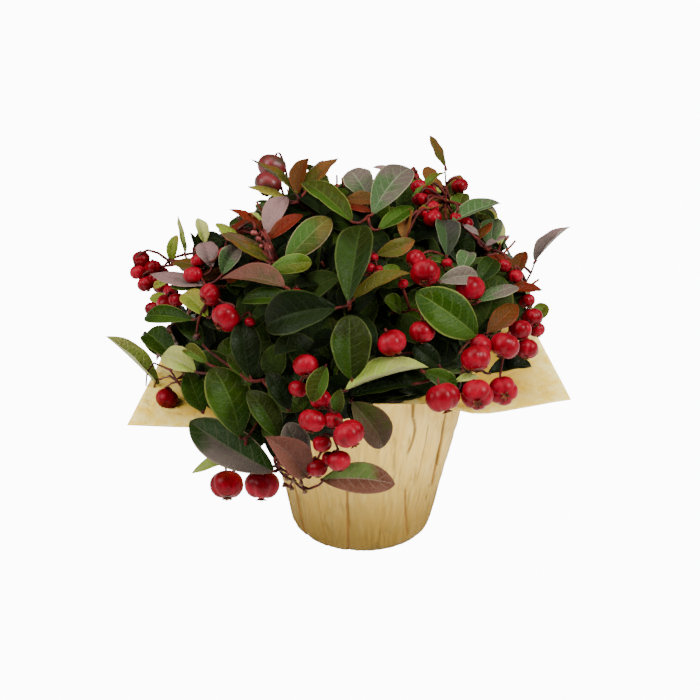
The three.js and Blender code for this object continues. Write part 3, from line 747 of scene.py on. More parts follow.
# Shoots of the front: their place in the photograph and how far below the dome they end
FRONT_SHOOTS = np.array([
    (298, 198, 0), (368, 216, 0), (376, 258, 4), (272, 262, 0), (350, 306, 0), (350, 388, 4),
    (292, 294, 4), (208, 284, 2), (188, 262, 8), (446, 202, 2), (446, 258, 3), (490, 250, 4),
    (526, 282, 4), (478, 302, 5), (486, 334, 2), (476, 338, 0), (440, 376, 5), (320, 380, 3),
    (350, 402, 3), (312, 472, 0), (276, 466, 0), (246, 438, 0), (262, 380, 6), (178, 382, 2),
    (160, 388, 0), (322, 262, 8), (410, 310, 10), (398, 354, 8), (302, 346, 10), (238, 322, 10),
    (230, 370, 8), (406, 238, 6), (518, 326, 10), (238, 230, 6), (342, 178, 6), (402, 178, 6),
])
# Where a line of sight is tried for the crown, in front of the target's plane
SIGHT_STATIONS = np.arange(130, -90, -0.5)
# The spiral's shoots: from the top down by the sine of their elevation, at a share of the dome's size
# and turned up a little. Those too far in front or too near to the collar are left out.
SPIRAL_COUNT = 74
SPIRAL_TOP = 0.97
SPIRAL_LOW = -0.28
SPIRAL_SHARE = 0.93
SPIRAL_RAISED = 0.25
SPIRAL_FRONT = 30
COLLAR_CLEAR = 5
# The share of its span over which a shoot keeps to its way at the end. Its side shoots: their turns
# round its end, how far away from it and below it they end, and how far back they fork off.
SHOOT_RUN = 0.42
SIDE_TURNS = np.array([0, 2.2, 4.3])
SIDE_AWAY = 17
SIDE_DROP = 6
SIDE_FORK = 34


def dome_depth(points):
    """Below 1 inside the crown, 1 on its dome or its skirt, and above 1 outside."""
    from_middle = points - CROWN
    height = np.where(from_middle[..., 2] > 0, CROWN_TOP, CROWN_SKIRT)
    flat = (from_middle[..., :2] ** 2).sum(-1) / CROWN_R**2
    return flat + (from_middle[..., 2] / height) ** 2


def dome_out(points):
    """The way out of the dome at each point."""
    from_middle = points - CROWN
    height = np.where(from_middle[..., 2:] > 0, CROWN_TOP, CROWN_SKIRT)
    return unit(from_middle / np.concatenate([0 * height + CROWN_R, 0 * height + CROWN_R, height], -1) ** 2)


def crown_out(pixels):
    """How far in front of the target's plane each pixel's line of sight first meets the crown, or
    comes nearest to it."""
    points = in_sight(np.asarray(pixels, float)[:, None], SIGHT_STATIONS[None])
    depth = dome_depth(points)
    first = np.where((depth < 1).any(1), (depth < 1).argmax(1), depth.argmin(1))
    return SIGHT_STATIONS[first]


def above_collar(points, clear):
    """Whether points keep that far above the collar, or lie outside its edge."""
    turns = (np.degrees(np.arctan2(points[..., 1], points[..., 0])) - COLLAR_OUTLINE[0, 0]) % 360
    reach, height = collar_edge((turns + COLLAR_OUTLINE[0, 0]).ravel())
    reach, height = reach.reshape(turns.shape), height.reshape(turns.shape)
    flat = np.hypot(points[..., 0], points[..., 1])
    share = np.clip((flat - RIM_R) / (reach - RIM_R), 0, 1)
    return (flat > reach + 1) | (points[..., 2] > RIM_Z + (height - RIM_Z) * share + clear)


front_places = in_sight(FRONT_SHOOTS[:, :2], crown_out(FRONT_SHOOTS[:, :2]) - FRONT_SHOOTS[:, 2])
spiral = np.arange(SPIRAL_COUNT)
rise = SPIRAL_TOP + (SPIRAL_LOW - SPIRAL_TOP) * (spiral + 0.5) / SPIRAL_COUNT
spiral_places = np.stack([
    on_dome(turn, angle, SPIRAL_SHARE)
    for turn, angle in zip(spiral * GOLDEN_TURN, np.degrees(np.arcsin(rise)))
])
facing = (spiral_places - CROWN) @ VIEW_OUT
keep_spiral = (facing < SPIRAL_FRONT) & above_collar(spiral_places, COLLAR_CLEAR)
spiral_places = spiral_places[keep_spiral]
shoot_places = np.vstack([front_places, spiral_places])
front_ways = unit(dome_out(front_places) + VIEW_OUT)
spiral_ways = unit(dome_out(spiral_places) + [0, 0, SPIRAL_RAISED])
shoot_ways = np.vstack([front_ways, spiral_ways])
mass_ways = unit(np.stack([on_dome(*angles, 1) for angles in MASSES.values()]) - CROWN)
mass_of = (unit(shoot_places - CROWN) @ mass_ways.T).argmax(1)


def back_along(path, distances):
    """The points that lie so far back from a path's end."""
    gone = np.concatenate([[0], np.cumsum(np.linalg.norm(np.diff(path[::-1], axis=0), axis=1))])
    return np.stack([np.interp(distances, gone, path[::-1, axis]) for axis in range(3)], -1)


def twig_paths(places, ways, owners):
    """A curve to each place from its mass's stalk, which runs out along the shoot's own way. Twig k
    forks off at a share that steps by the golden share."""
    names = list(MASSES)
    counts = dict.fromkeys(names, 0)
    paths = []
    for place, way, owner in zip(places, ways, owners):
        name = names[owner]
        share = (counts[name] * GOLDEN_SHARE) % 1
        counts[name] += 1
        fork = bough_curves[name][-1] + hub_ways[name] * STALK_LENGTH * (1 - STALK_FORKED * share)
        span = np.linalg.norm(place - fork)
        paths.append(bend_through(fork, place - way * span * SHOOT_RUN, place, TWIG_STEPS))
    return np.stack(paths)


shoot_paths = twig_paths(shoot_places, shoot_ways, mass_of)
stalk_paths = []
for name, curve in bough_curves.items():
    hub, way = curve[-1], hub_ways[name]
    stalk_paths.append(bend_through(hub, hub + way * STALK_MIDDLE, hub + way * STALK_LENGTH, TWIG_STEPS))
stalk_paths = np.stack(stalk_paths)
side_start = np.random.default_rng(9).random(len(spiral_places)) * 6
side_paths = []
for place, way, path, start in zip(spiral_places, spiral_ways, shoot_paths[len(front_places) :], side_start):
    right = unit(np.cross([0, 0, 1.0], way))
    fork = back_along(path, SIDE_FORK)
    for turn in start + SIDE_TURNS:
        aside = right * np.cos(turn) + np.cross(way, right) * np.sin(turn)
        spot = place + aside * SIDE_AWAY - way * SIDE_DROP
        side_paths.append(bend_through(fork, spot - way * SIDE_FORK * SHOOT_RUN, spot, TWIG_STEPS))


# Leaves: leathery evergreen blades with a sunken midrib, arched side veins and a thin pale or red
# margin. They sit in whorls at the shoots' ends, dark green, and the cold turns some shoots lime,
# bronze, rust or plum. Many green blades have a painted sheen, one half painted a lighter green, and
# the leaves inside the crown and the darkest kind are painted darker as painted shade. Each colour is a
# piece of its own.
LEAF_ROWS = 13
LEAF_COLUMNS = 5
FRONT_ROWS = 19
FRONT_COLUMNS = 9
# Blades: the width of their ends as a share of the widest, the slimmest width as a share of the
# length, the most depth as a share of the length, how far below the dome those of the front start,
# and one step of their lift towards the eye
NARROWEST = 0.035
SLIMMEST = 0.44
STEEPEST = 0.62
LEAF_SINK = 3
LIFT = 1.4
# Each number of a leaf's shape, as in leaf_blades, and its range
LEAF_RANGES = {
    "waist": (0.72, 1.0), "point": (0.5, 0.72), "rise": (0.03, 0.13), "bow": (-0.05, 0.05),
    "keel": (0.25, 0.6), "roll": (0.2, 0.55), "wave": (0.0, 0.1), "phase": (0.0, 1.0), "nod": (0.0, 0.1),
}
# Leaves of the front, by colour: the base and the tip of the blade in the photograph, how wide it
# looks there, and a lift towards the eye in steps of LIFT
FRONT_LEAVES = {
    "pale": [
        (500, 246, 497, 217, 15, -4), (205, 245, 198, 217, 14, 0), (262, 222, 247, 213, 5, 0),
        (185, 255, 178, 215, 6, 0), (438, 196, 438, 186, 6, 0), (345, 391, 428, 366, 15, 5),
        (455, 382, 480, 377, 8, 3), (238, 456, 191, 472, 13, 5), (196, 372, 160, 355, 27, 4),
        (160, 388, 106, 336, 14, 2),
    ],
    "mid": [
        (268, 270, 311, 262, 20, 3), (205, 290, 170, 284, 16, -3), (367, 275, 400, 268, 7, 0),
        (412, 199, 444, 172, 8, 0), (530, 324, 546, 303, 17, -6), (208, 364, 184, 347, 15, 3),
    ],
    "moss": [
        (204, 412, 188, 372, 26, 0), (352, 222, 304, 181, 22, 4), (194, 320, 145, 315, 20, 2),
        (458, 216, 463, 193, 20, -2), (378, 230, 412, 205, 16, 2), (477, 336, 417, 292, 44, 5),
        (423, 372, 457, 386, 18, 3), (326, 366, 312, 402, 22, 4), (338, 412, 341, 389, 14, 5),
        (176, 362, 146, 332, 30, -2), (242, 376, 228, 354, 11, 2), (452, 262, 427, 256, 9, 0),
        (240, 438, 214, 368, 45, 4),
    ],
    "deep": [
        (275, 205, 255, 202, 4, 0), (300, 302, 242, 300, 17, 4), (195, 250, 190, 232, 5, 0),
        (348, 303, 361, 223, 38, 6), (476, 284, 494, 258, 22, 0), (352, 380, 350, 315, 42, 3),
        (280, 438, 249, 391, 28, 3), (224, 460, 201, 442, 16, -3), (204, 346, 178, 316, 20, -6),
    ],
    # Painted shade: leaves that stand in the crown's shade, painted near black.
    "in_shade": [
        (337, 308, 265, 325, 45, 4), (488, 374, 532, 366, 17, -8), (440, 366, 414, 345, 22, -2),
        (415, 384, 352, 395, 18, 1), (290, 410, 268, 372, 22, 0), (250, 378, 243, 320, 32, 0),
        (436, 395, 370, 400, 17, -4), (418, 356, 392, 372, 16, -6), (186, 354, 174, 324, 13, -3),
    ],
    "rust": [
        (511, 290, 543, 290, 11, 0), (298, 195, 308, 157, 18, 0), (262, 232, 229, 209, 9, 0),
        (268, 240, 303, 214, 14, 0), (345, 203, 372, 212, 8, 0), (478, 240, 492, 221, 9, 0),
        (515, 262, 490, 256, 8, 0), (516, 278, 526, 251, 16, 0), (487, 333, 518, 304, 22, 3),
    ],
    # Silver and lilac leaves carry a painted sheen in their colour.
    "silver_sheen": [
        (300, 192, 322, 160, 10, -6), (222, 275, 240, 246, 22, 0), (368, 197, 350, 169, 30, 0),
        (372, 215, 411, 165, 34, 4), (490, 246, 493, 218, 24, 0), (452, 222, 500, 203, 15, 3),
        (462, 272, 470, 251, 20, 0), (438, 282, 478, 276, 20, 3), (478, 302, 518, 285, 14, 2),
        (308, 466, 288, 424, 30, 1),
    ],
    "olive": [
        (205, 268, 172, 262, 12, -3), (297, 195, 250, 159, 6, 2), (305, 192, 338, 157, 15, 0),
        (268, 262, 229, 237, 12, 0), (352, 300, 410, 272, 14, 4), (345, 200, 383, 203, 14, 0),
        (404, 240, 410, 208, 14, 0), (376, 255, 415, 240, 18, 2), (417, 211, 442, 205, 6, 4),
        (446, 168, 430, 135, 10, 0), (432, 186, 426, 165, 16, 0), (452, 200, 460, 174, 18, -8),
    ],
    "lilac_sheen": [
        (535, 262, 570, 226, 11, 0), (485, 247, 511, 235, 6, 2), (392, 172, 372, 167, 6, -4),
        (266, 235, 287, 195, 22, 0), (212, 268, 203, 241, 24, 0), (205, 285, 150, 273, 15, 0),
        (462, 224, 479, 235, 6, 3),
    ],
    "plum": [
        (262, 252, 218, 230, 12, 0), (285, 287, 220, 279, 20, 4), (306, 477, 267, 437, 34, 9),
    ],
    "lime": [
        (285, 200, 248, 186, 8, 0), (172, 264, 176, 235, 12, 0), (240, 248, 217, 222, 12, 0),
        (208, 318, 184, 293, 24, 0), (172, 300, 149, 296, 11, 1), (168, 282, 153, 287, 8, 1),
    ],
    "slate": [(447, 257, 444, 218, 27, 0)],
    "dusk": [(352, 402, 385, 447, 35, 3)],
    "two_tone": [(321, 480, 395, 484, 33, 6)],
    "bronze": [(274, 472, 190, 421, 42, 7)],
    "turning": [(285, 262, 331, 216, 30, 3)],
}
# Each colour: blade, the cast that it takes on towards the tip, ribs, margin, underside, how far
# the cast spreads, and how rough the gloss is
LEAF_COLOURS = {
    # The darkest kind is painted shade: leaves in the crown's shade painted near black.
    "in_shade": ("0a1602", "141805", "28341a", "3c4620", "2c3816", 0.30, 0.34),
    "deep": ("142602", "1e2404", "3a4a1a", "565e2c", "404c1c", 0.35, 0.32),
    "moss": ("1e3602", "2e3206", "526428", "7c803c", "54622a", 0.30, 0.32),
    "mid": ("365008", "4a4a0e", "6e7c38", "8a8c44", "647230", 0.25, 0.34),
    "lime": ("6c7c20", "7c6e28", "a0a458", "a8984a", "8c9046", 0.40, 0.38),
    "pale": ("8c9e3c", "a0a254", "c0c48c", "bcb068", "b4b878", 0.45, 0.42),
    "olive": ("48460e", "683e18", "66583a", "845430", "5c5626", 0.55, 0.36),
    "rust": ("4a2c0a", "601a0a", "7c4026", "8c3c2c", "6e3a1e", 0.65, 0.36),
    "plum": ("483c20", "643c30", "72524a", "804e44", "685040", 0.60, 0.38),
    # The silver and lilac kinds: a grey-green and a mauve cast of the blade, made paler by a painted sheen,
    # the grey reflection of the sky on glossy leaves.
    "silver_sheen": ("3c562c", "5e5048", "848c6c", "9a9270", "707858", 0.56, 0.36),
    "lilac_sheen": ("665852", "80625e", "8a7068", "967064", "7e6c5c", 0.60, 0.38),
    "slate": ("28301c", "383230", "505640", "747058", "4c5638", 0.50, 0.36),
    "dusk": ("343a12", "443022", "504a2e", "70503a", "54502e", 0.50, 0.38),
    "two_tone": ("5e3a20", "603a2a", "907866", "84604c", "746a48", 0.60, 0.36),
    "bronze": ("1c3206", "4c4438", "5c5c44", "86745e", "5c5440", 0.0, 0.36),
    "turning": ("30400c", "54481e", "66703c", "9a8464", "54502e", -0.05, 0.36),
}
# Kinds whose two halves differ: the other half's colour. In the darkest, the deep, the moss and the mid green
# kinds it is a lighter green, a painted sheen where one half of a folded blade catches the light. In the
# two-tone, bronze, slate and turning kinds it is another colour of the blade.
HALF_CAST_AND_SHEEN = {
    "two_tone": "5a7034", "bronze": "584c44", "slate": "344a28", "in_shade": "121e04", "deep": "223608",
    "moss": "304810", "mid": "4a6424", "turning": "36521a",
}
# Colours whose leaves run to a longer point, and how much is added to it
POINTED = ("rust", "plum", "olive", "pale", "lilac_sheen")
POINT_ADDED = 0.3
# How the colours are dealt out to the shoots of the sides and the back
SPIRAL_COLOURS = [
    "deep", "mid", "deep", "olive", "mid", "deep", "silver_sheen", "deep", "rust", "mid", "deep", "slate",
    "deep", "mid", "lime", "deep", "plum", "mid", "deep", "silver_sheen", "lilac_sheen", "deep", "mid", "deep",
]
# The front's thick of leaves in the photograph, past which only single leaves stand out
FRONT_OUTLINE = np.array([
    (197, 245), (225, 228), (258, 205), (270, 188), (330, 188), (345, 181), (372, 193), (410, 181),
    (438, 182), (455, 200), (490, 218), (503, 250), (526, 280), (528, 300), (500, 330), (470, 348),
    (425, 362), (400, 380), (350, 396), (320, 418), (285, 428), (255, 428), (215, 398), (185, 380),
    (172, 350), (184, 320), (194, 290),
])
# How much more the front's leaves fold, the range of shades of the front, the sides and the inside,
# and the most of its cast that a leaf inside takes on. The inside's low shades are painted shade,
# which darkens the leaves within the crown.
FRONT_FOLD = 1.6
FRONT_SHADES = (0.6, 0.84)
SIDE_SHADES = (0.35, 0.8)
INNER_PAINTED_SHADES = (0, 0.45)
INNER_CAST = 0.2
# Whorls: how many leaves, how long they are, and how far back from the shoot's end they begin. The
# fill stands behind the front's leaves and the deep whorls show only from the sides.
INNER_COLOURS = ["deep", "deep", "mid", "deep"]
FILL_LEAVES = 7
FILL_LENGTH = 34
FILL_SINKS = (10, 24)
DEEP_LEAVES = 5
DEEP_SINKS = (38, 50, 62)
DEEP_LEANS = (55, 100)
SPIRAL_LEAVES = 9
SPIRAL_LENGTH = 36
SIDE_LEAVES = 6
SIDE_LENGTH = 29
# Along a whorl's shoot: the lean of its first and last leaf in degrees, the step between leaves and
# from the shoot to a blade's foot, the size of the first leaf and the width, as shares of the length,
# and how far turn, lean, size and width are scattered
WHORL_LEANS = (38, 96)
WHORL_STEP = 2.3
LEAF_FOOT = 0.6
YOUNGEST = 0.6
WHORL_WIDTH = 0.56
TURN_SCATTER = 9
LEAN_SCATTER = 7
SIZE_SCATTER = (0.88, 1.14)
WIDTH_SCATTER = (0.9, 1.12)
# Room for leaves: half of a blade's width without its thin edge, how far it stays above the collar
# and the compost, how far it may stand out of the part's box, and how many pixels inside the edge of
# a front leaf it hides
HALF_BLADE = 0.42
LEAF_CLEAR = 1.2
COMPOST_CLEAR = 4
BOX_SPARE = 2
LEAF_HIDDEN = 2.5


def leaf_blades(base, tip, face, width, form, rows, columns):
    """Leaf blades as grids. Along the leaf u runs from 0 to 1, and the blade's half width is that of
    the leaf times u ** waist * (1 - u) ** point, scaled to 1 at its widest. Across it v runs from -1
    to 1. The midrib arches over its chord by rise * 4u(1 - u) and bows aside by bow * 4u(1 - u).
    Each half lifts off the midrib by keel * |v| and rolls down by roll * v ** 2 of the half width,
    the margin waves, and the last third of the leaf nods."""
    u = ((1 - np.cos(np.pi * np.linspace(0, 1, rows))) / 2)[None, :, None]
    v = np.linspace(-1, 1, columns)[None, None]
    numbers = [number[:, None, None] for number in form.values()]
    waist, point, rise, bow, keel, roll, wave, phase, nod = numbers
    widest = waist / (waist + point)
    share = u**waist * (1 - u) ** point / (widest**waist * (1 - widest) ** point)
    half = width[:, None, None] / 2 * np.maximum(share, NARROWEST)
    length = np.linalg.norm(tip - base, axis=-1)[:, None, None]
    along = unit(tip - base)
    up = unit(face - (face * along).sum(-1, keepdims=True) * along)
    across = np.cross(along, up)
    arch = 4 * u * (1 - u) * length
    nodding = nod * length * np.clip((u - 0.66) / 0.34, 0, 1) ** 2
    ruffle = wave * np.sin(2 * np.pi * (2.5 * u + phase) + 1.3 * np.sign(v)) * np.abs(v) ** 3
    over = rise * arch - nodding + half * (keel * np.abs(v) - roll * v**2 + ruffle)
    aside = half * v * (1 - 0.12 * keel) + bow * arch
    chord = base[:, None, None] + along[:, None, None] * (u * length)[..., None]
    return chord + up[:, None, None] * over[..., None] + across[:, None, None] * aside[..., None]


def leaf_places(count, rows, columns):
    """Each point's UV place: v across and u along the leaf."""
    u = (1 - np.cos(np.pi * np.linspace(0, 1, rows))) / 2
    across, along = np.meshgrid(np.linspace(0, 1, columns), u)
    return np.tile(np.stack([across, along], -1).reshape(1, -1, 2), (count, 1, 1)).reshape(-1, 2)


def leaf_forms(count, chances):
    """The numbers of each leaf's shape, each drawn from its own range."""
    low, high = np.array(list(LEAF_RANGES.values())).T
    return dict(zip(LEAF_RANGES, (low + (high - low) * chances.random((count, len(low)))).T))


def front_leaves(rows):
    """Base, tip, face and width of the leaves that the photograph shows, and how squarely each faces
    the eye. A blade reaches from the crown's surface under its base towards that under its tip, no
    more steeply than STEEPEST. One that looks slim for its length is rolled until it looks so."""
    seen = np.array(rows, float)
    base_out = crown_out(seen[:, :2]) - LEAF_SINK
    length_seen = np.linalg.norm(seen[:, 2:4] - seen[:, :2], axis=1) * PIXEL
    steepest = STEEPEST * length_seen
    change = np.clip(crown_out(seen[:, 2:4]) - base_out, -steepest, steepest)
    lift = seen[:, 5] * LIFT
    base = in_sight(seen[:, :2], base_out + lift)
    tip = in_sight(seen[:, 2:4], base_out + change + lift)
    along = unit(tip - base)
    eyewards = unit(EYE - (base + tip) / 2)
    square = unit(eyewards - (eyewards * along).sum(-1, keepdims=True) * along)
    sideways = np.cross(along, square)
    sideways *= np.where(sideways[:, 2:3] < 0, -1, 1)
    looks = seen[:, 4] * PIXEL
    width = np.maximum(looks, SLIMMEST * np.linalg.norm(tip - base, axis=-1))
    squarely = np.clip(looks / width, 0.25, 0.97)
    turn = np.arccos(squarely)[:, None]
    return (base, tip, square * np.cos(turn) + sideways * np.sin(turn), width), squarely


def whorl(path, back, out, count, length, chances, leans=WHORL_LEANS):
    """Base, tip, face and width of a shoot's leaves: they leave it in a spiral of the golden turn
    from so far back of its end, small and steep at first and larger and flatter below. Their faces
    look outwards and up, with a scatter."""
    k = np.arange(count)
    stem = back_along(path, back + WHORL_STEP * k)
    age = k / max(count - 1, 1)
    turn = np.radians(GOLDEN_TURN * k + 360 * chances.random() + chances.normal(0, TURN_SCATTER, count))
    lean = np.radians(leans[0] + (leans[1] - leans[0]) * age + chances.normal(0, LEAN_SCATTER, count))
    right = unit(np.cross([0.3, 0.2, 1.0], out))
    up = np.cross(out, right)
    side = np.cos(turn)[:, None] * right + np.sin(turn)[:, None] * up
    way = np.cos(lean)[:, None] * out + np.sin(lean)[:, None] * side
    base = stem + way * LEAF_FOOT
    size = length * (YOUNGEST + (1 - YOUNGEST) * age) * chances.uniform(*SIZE_SCATTER, count)
    tip = base + way * size[:, None]
    face = out + [0, 0, 0.45] + 0.25 * chances.normal(0, 1, (count, 3))
    return base, tip, face, size * WHORL_WIDTH * chances.uniform(*WIDTH_SCATTER, count)


def in_outline(pixels, corners):
    """Whether each pixel lies inside a closed outline: a line from it crosses an odd number of
    sides."""
    first, second = corners, np.roll(corners, -1, 0)
    x, y = pixels[..., :1], pixels[..., 1:]
    spans = (first[:, 1] > y) != (second[:, 1] > y)
    run, climb = (second - first).T
    slope = run / np.where(climb == 0, 1, climb)
    crosses = spans & (x < first[:, 0] + slope * (y - first[:, 1]))
    return crosses.sum(-1) % 2 == 1


def covered(pixels, inside):
    """Whether each pixel lies in a front leaf, so far inside its edge. The leaf counts as the stretch
    round its middle line, without its ends."""
    rows = np.array([row for rows in FRONT_LEAVES.values() for row in rows], float)
    base, tip, half = rows[:, :2], rows[:, 2:4], rows[:, 4] * HALF_BLADE
    span = tip - base
    share = ((pixels[..., None, :] - base) * span).sum(-1) / (span**2).sum(-1)
    nearest = base + np.clip(share, 0.08, 0.92)[..., None] * span
    return (np.linalg.norm(pixels[..., None, :] - nearest, axis=-1) < half - inside).any(-1)


def fits(base, tip, face, width, inner):
    """Whether leaves keep to the room they have: above the collar and the compost, inside the part's
    box, and from the front inside the thick of leaves or behind a front leaf. Inner leaves also stay
    below the dome."""
    across = unit(np.cross(tip - base, face)) * width[:, None] * HALF_BLADE
    middle = base + (tip - base) * 0.6
    points = np.stack([tip, middle, middle + across, middle - across, base + (tip - base) * 0.85], 1)
    pixels = pixel_of(points)
    shown = in_outline(pixels, FRONT_OUTLINE) | covered(pixels, LEAF_HIDDEN)
    room = shown.all(1) & above_collar(points, LEAF_CLEAR).all(1)
    flat = np.hypot(points[..., 0], points[..., 1])
    clear = (flat > RIM_R) | (points[..., 2] > COMPOST_Z + COMPOST_CLEAR)
    low, high = np.array(cad_box[0]) / MM - BOX_SPARE, np.array(cad_box[1]) / MM + BOX_SPARE
    boxed = ((points > low) & (points < high)).all((1, 2))
    below = dome_depth(points).max(1) < 1.0 if inner else True
    return room & clear.all(1) & boxed & below


def leaf_material(name, blade, cast, ribs, margin, underside, spread, rough):
    """A leaf's finish: the blade with its cast in clouds, the other colour on one half where its kind has
    one, which on the green kinds is a painted sheen, paler ribs, a thin margin, and the underside where
    the back of the sheet shows. Each leaf has its own shade, which darkens the leaves inside the crown as
    painted shade, and share of cast."""
    material, tree = new_material("leaf_" + name)
    place = add_node(tree, "ShaderNodeUVMap", uv_map="UVMap").outputs["UV"]
    cells = add_node(tree, "ShaderNodeTexCoord").outputs["Object"]
    veins = add_node(tree, "ShaderNodeGroup", {"Place": place, "Cells": cells}, node_tree=leaf_veins)
    shade = add_node(tree, "ShaderNodeAttribute", attribute_name="shade").outputs["Fac"]
    own_cast = add_node(tree, "ShaderNodeAttribute", attribute_name="cast").outputs["Fac"]
    leaf_cast = add_node(tree, "ShaderNodeMath", {0: own_cast, 1: veins.outputs["Cast"]}).outputs[0]
    colour = mix(tree, ramp(tree, leaf_cast, 1.3 - spread, 2.0 - spread), rgb(blade), rgb(cast))
    # The other half: a painted sheen on the green kinds, lighter where a folded blade would catch the light,
    # and another colour of the blade on the others.
    if name in HALF_CAST_AND_SHEEN:
        colour = mix(tree, veins.outputs["Half"], colour, rgb(HALF_CAST_AND_SHEEN[name]))
    colour = mix(tree, veins.outputs["Ribs"], colour, rgb(ribs))
    colour = mix(tree, veins.outputs["Margin"], colour, rgb(margin))
    back = add_node(tree, "ShaderNodeNewGeometry").outputs["Backfacing"]
    colour = mix(tree, back, colour, rgb(underside))
    # Painted shade: each leaf is darkened by its shade, the leaves inside the crown most of all.
    colour = mix(tree, 1.0, colour, ramp(tree, shade, 0.0, 1.0, 0.2, 0.75), blend="MULTIPLY")
    finish_material(
        tree,
        Base_Color=colour,
        Roughness=mix(
            tree,
            ramp(tree, shade, 0.0, 0.5, 0.6, 0.0),
            ramp(tree, veins.outputs["Relief"], 0.2, 1.0, rough + 0.14, rough - 0.04),
            (0.9, 0.9, 0.9, 1),
        ),
        Normal=bump(tree, veins.outputs["Relief"], 0.9, 0.4),
        Specular_IOR_Level=0.05,
    )
    return material


def vein_group():
    """The shader group of a leaf's ribs. Side ribs arch forward from the midrib, seven to a side, and
    fade towards the margin, with a fine net between them. The cast grows towards the tip, in clouds
    and more on one half, and the half is the other one from the leaf's foot to near its tip. That half
    takes the other colour, a painted sheen on the green kinds."""
    group = bpy.data.node_groups.new("leaf_veins", "ShaderNodeTree")
    for name in ("Place", "Cells"):
        group.interface.new_socket(name, in_out="INPUT", socket_type="NodeSocketVector")
    for name in ("Ribs", "Margin", "Relief", "Cast", "Half"):
        group.interface.new_socket(name, in_out="OUTPUT", socket_type="NodeSocketFloat")
    given = add_node(group, "NodeGroupInput").outputs
    put = add_node(group, "NodeGroupOutput").inputs

    def work(operation, first, second=0.0):
        node = add_node(group, "ShaderNodeMath", {0: first, 1: second}, operation=operation)
        return node.outputs[0]

    split = add_node(group, "ShaderNodeSeparateXYZ", {"Vector": given["Place"]}).outputs
    away = work("ABSOLUTE", work("SUBTRACT", work("MULTIPLY", split["X"], 2.0), 1.0))
    climb = work("SUBTRACT", split["Y"], work("MULTIPLY", work("POWER", away, 1.4), 0.2))
    beat = work("FRACT", work("MULTIPLY", climb, 7.0))
    side_ribs = ramp(group, work("ABSOLUTE", work("SUBTRACT", beat, 0.5)), 0.01, 0.12, 1.0, 0.0)
    side_ribs = work("MULTIPLY", side_ribs, ramp(group, away, 0.4, 0.95, 0.5, 0.0))
    midrib = ramp(group, away, 0.015, 0.075, 0.9, 0.0)
    net = add_node(
        group, "ShaderNodeTexVoronoi", {"Vector": given["Cells"], "Scale": 560.0}, feature="DISTANCE_TO_EDGE"
    ).outputs["Distance"]
    fine = ramp(group, net, 0.02, 0.12, 0.16, 0.0)
    ribs = work("MAXIMUM", work("MAXIMUM", midrib, side_ribs), fine)
    sunk = work("ADD", work("MULTIPLY", midrib, 0.5), work("MULTIPLY", side_ribs, 0.6))
    relief = work("SUBTRACT", work("ADD", 0.5, work("MULTIPLY", ramp(group, net, 0.0, 0.35), 0.35)), sunk)
    inputs = {"Vector": given["Cells"], "Scale": 95.0, "Detail": 3.0, "Roughness": 0.6}
    cloud = add_node(group, "ShaderNodeTexNoise", inputs).outputs["Fac"]
    cast = work("ADD", ramp(group, split["Y"], 0.15, 0.95, 0.0, 0.6), ramp(group, cloud, 0.3, 0.7, 0.0, 0.55))
    cast = work("ADD", cast, ramp(group, split["X"], 0.4, 0.6, 0.0, 0.25))
    uneven = work("ADD", split["Y"], work("MULTIPLY", cloud, 0.3))
    one_side = ramp(group, split["X"], 0.46, 0.54, 1.0, 0.0)
    half = work("MULTIPLY", one_side, ramp(group, uneven, 0.75, 0.95, 1.0, 0.0))
    group.links.new(work("MULTIPLY", ribs, 0.7), put["Ribs"])
    group.links.new(ramp(group, away, 0.88, 0.98, 0.0, 0.62), put["Margin"])
    group.links.new(relief, put["Relief"])
    group.links.new(cast, put["Cast"])
    group.links.new(half, put["Half"])
    return group


leaf_veins = vein_group()
chances = np.random.default_rng(5)
grown = {name: [] for name in LEAF_COLOURS}
leaf_bases = []


def grow(colour, leaves, rows, columns, shades, fold=1.0, most_cast=1.0, arch=1.0, chances=chances):
    """Keeps a batch of leaves for its colour's piece, with a cast and a shade between two for each
    leaf. fold scales how far its halves lift off the midrib, and arch how far it arches and nods."""
    base, tip, face, width = leaves
    if len(base):
        forms = leaf_forms(len(base), chances)
        forms["keel"] *= fold
        forms["rise"] *= arch
        forms["nod"] *= arch
        forms["point"] += POINT_ADDED * (colour in POINTED)
        blades = leaf_blades(base, tip, face, width, forms, rows, columns)
        tones = chances.random((2, len(base))) * [[shades[1] - shades[0]], [most_cast]] + [[shades[0]], [0]]
        tones = np.repeat(tones, rows * columns, axis=1)
        grown[colour].append((weave(blades), leaf_places(len(base), rows, columns), tones))
        leaf_bases.append(np.concatenate([base, unit(tip - base)], 1))


for colour, rows in FRONT_LEAVES.items():
    leaves, squarely = front_leaves(rows)
    grow(colour, leaves, FRONT_ROWS, FRONT_COLUMNS, FRONT_SHADES, FRONT_FOLD, arch=squarely**2)

for number, (path, way) in enumerate(zip(shoot_paths, front_ways)):
    for sink in FILL_SINKS:
        leaves = whorl(path, sink, way, FILL_LEAVES, FILL_LENGTH, chances)
        kept = fits(*leaves, inner=True)
        leaves = [part[kept] for part in leaves]
        colour = INNER_COLOURS[(number + FILL_SINKS.index(sink)) % len(INNER_COLOURS)]
        grow(colour, leaves, LEAF_ROWS, LEAF_COLUMNS, INNER_PAINTED_SHADES, most_cast=INNER_CAST)

deep_chances = np.random.default_rng(31)
for number, (path, way) in enumerate(zip(shoot_paths, shoot_ways)):
    for sink in DEEP_SINKS:
        leaves = whorl(path, sink, way, DEEP_LEAVES, FILL_LENGTH, deep_chances, DEEP_LEANS)
        kept = fits(*leaves, inner=True)
        leaves = [part[kept] for part in leaves]
        colour = INNER_COLOURS[number % len(INNER_COLOURS)]
        grow(
            colour, leaves, LEAF_ROWS, LEAF_COLUMNS, INNER_PAINTED_SHADES, most_cast=INNER_CAST, chances=deep_chances
        )

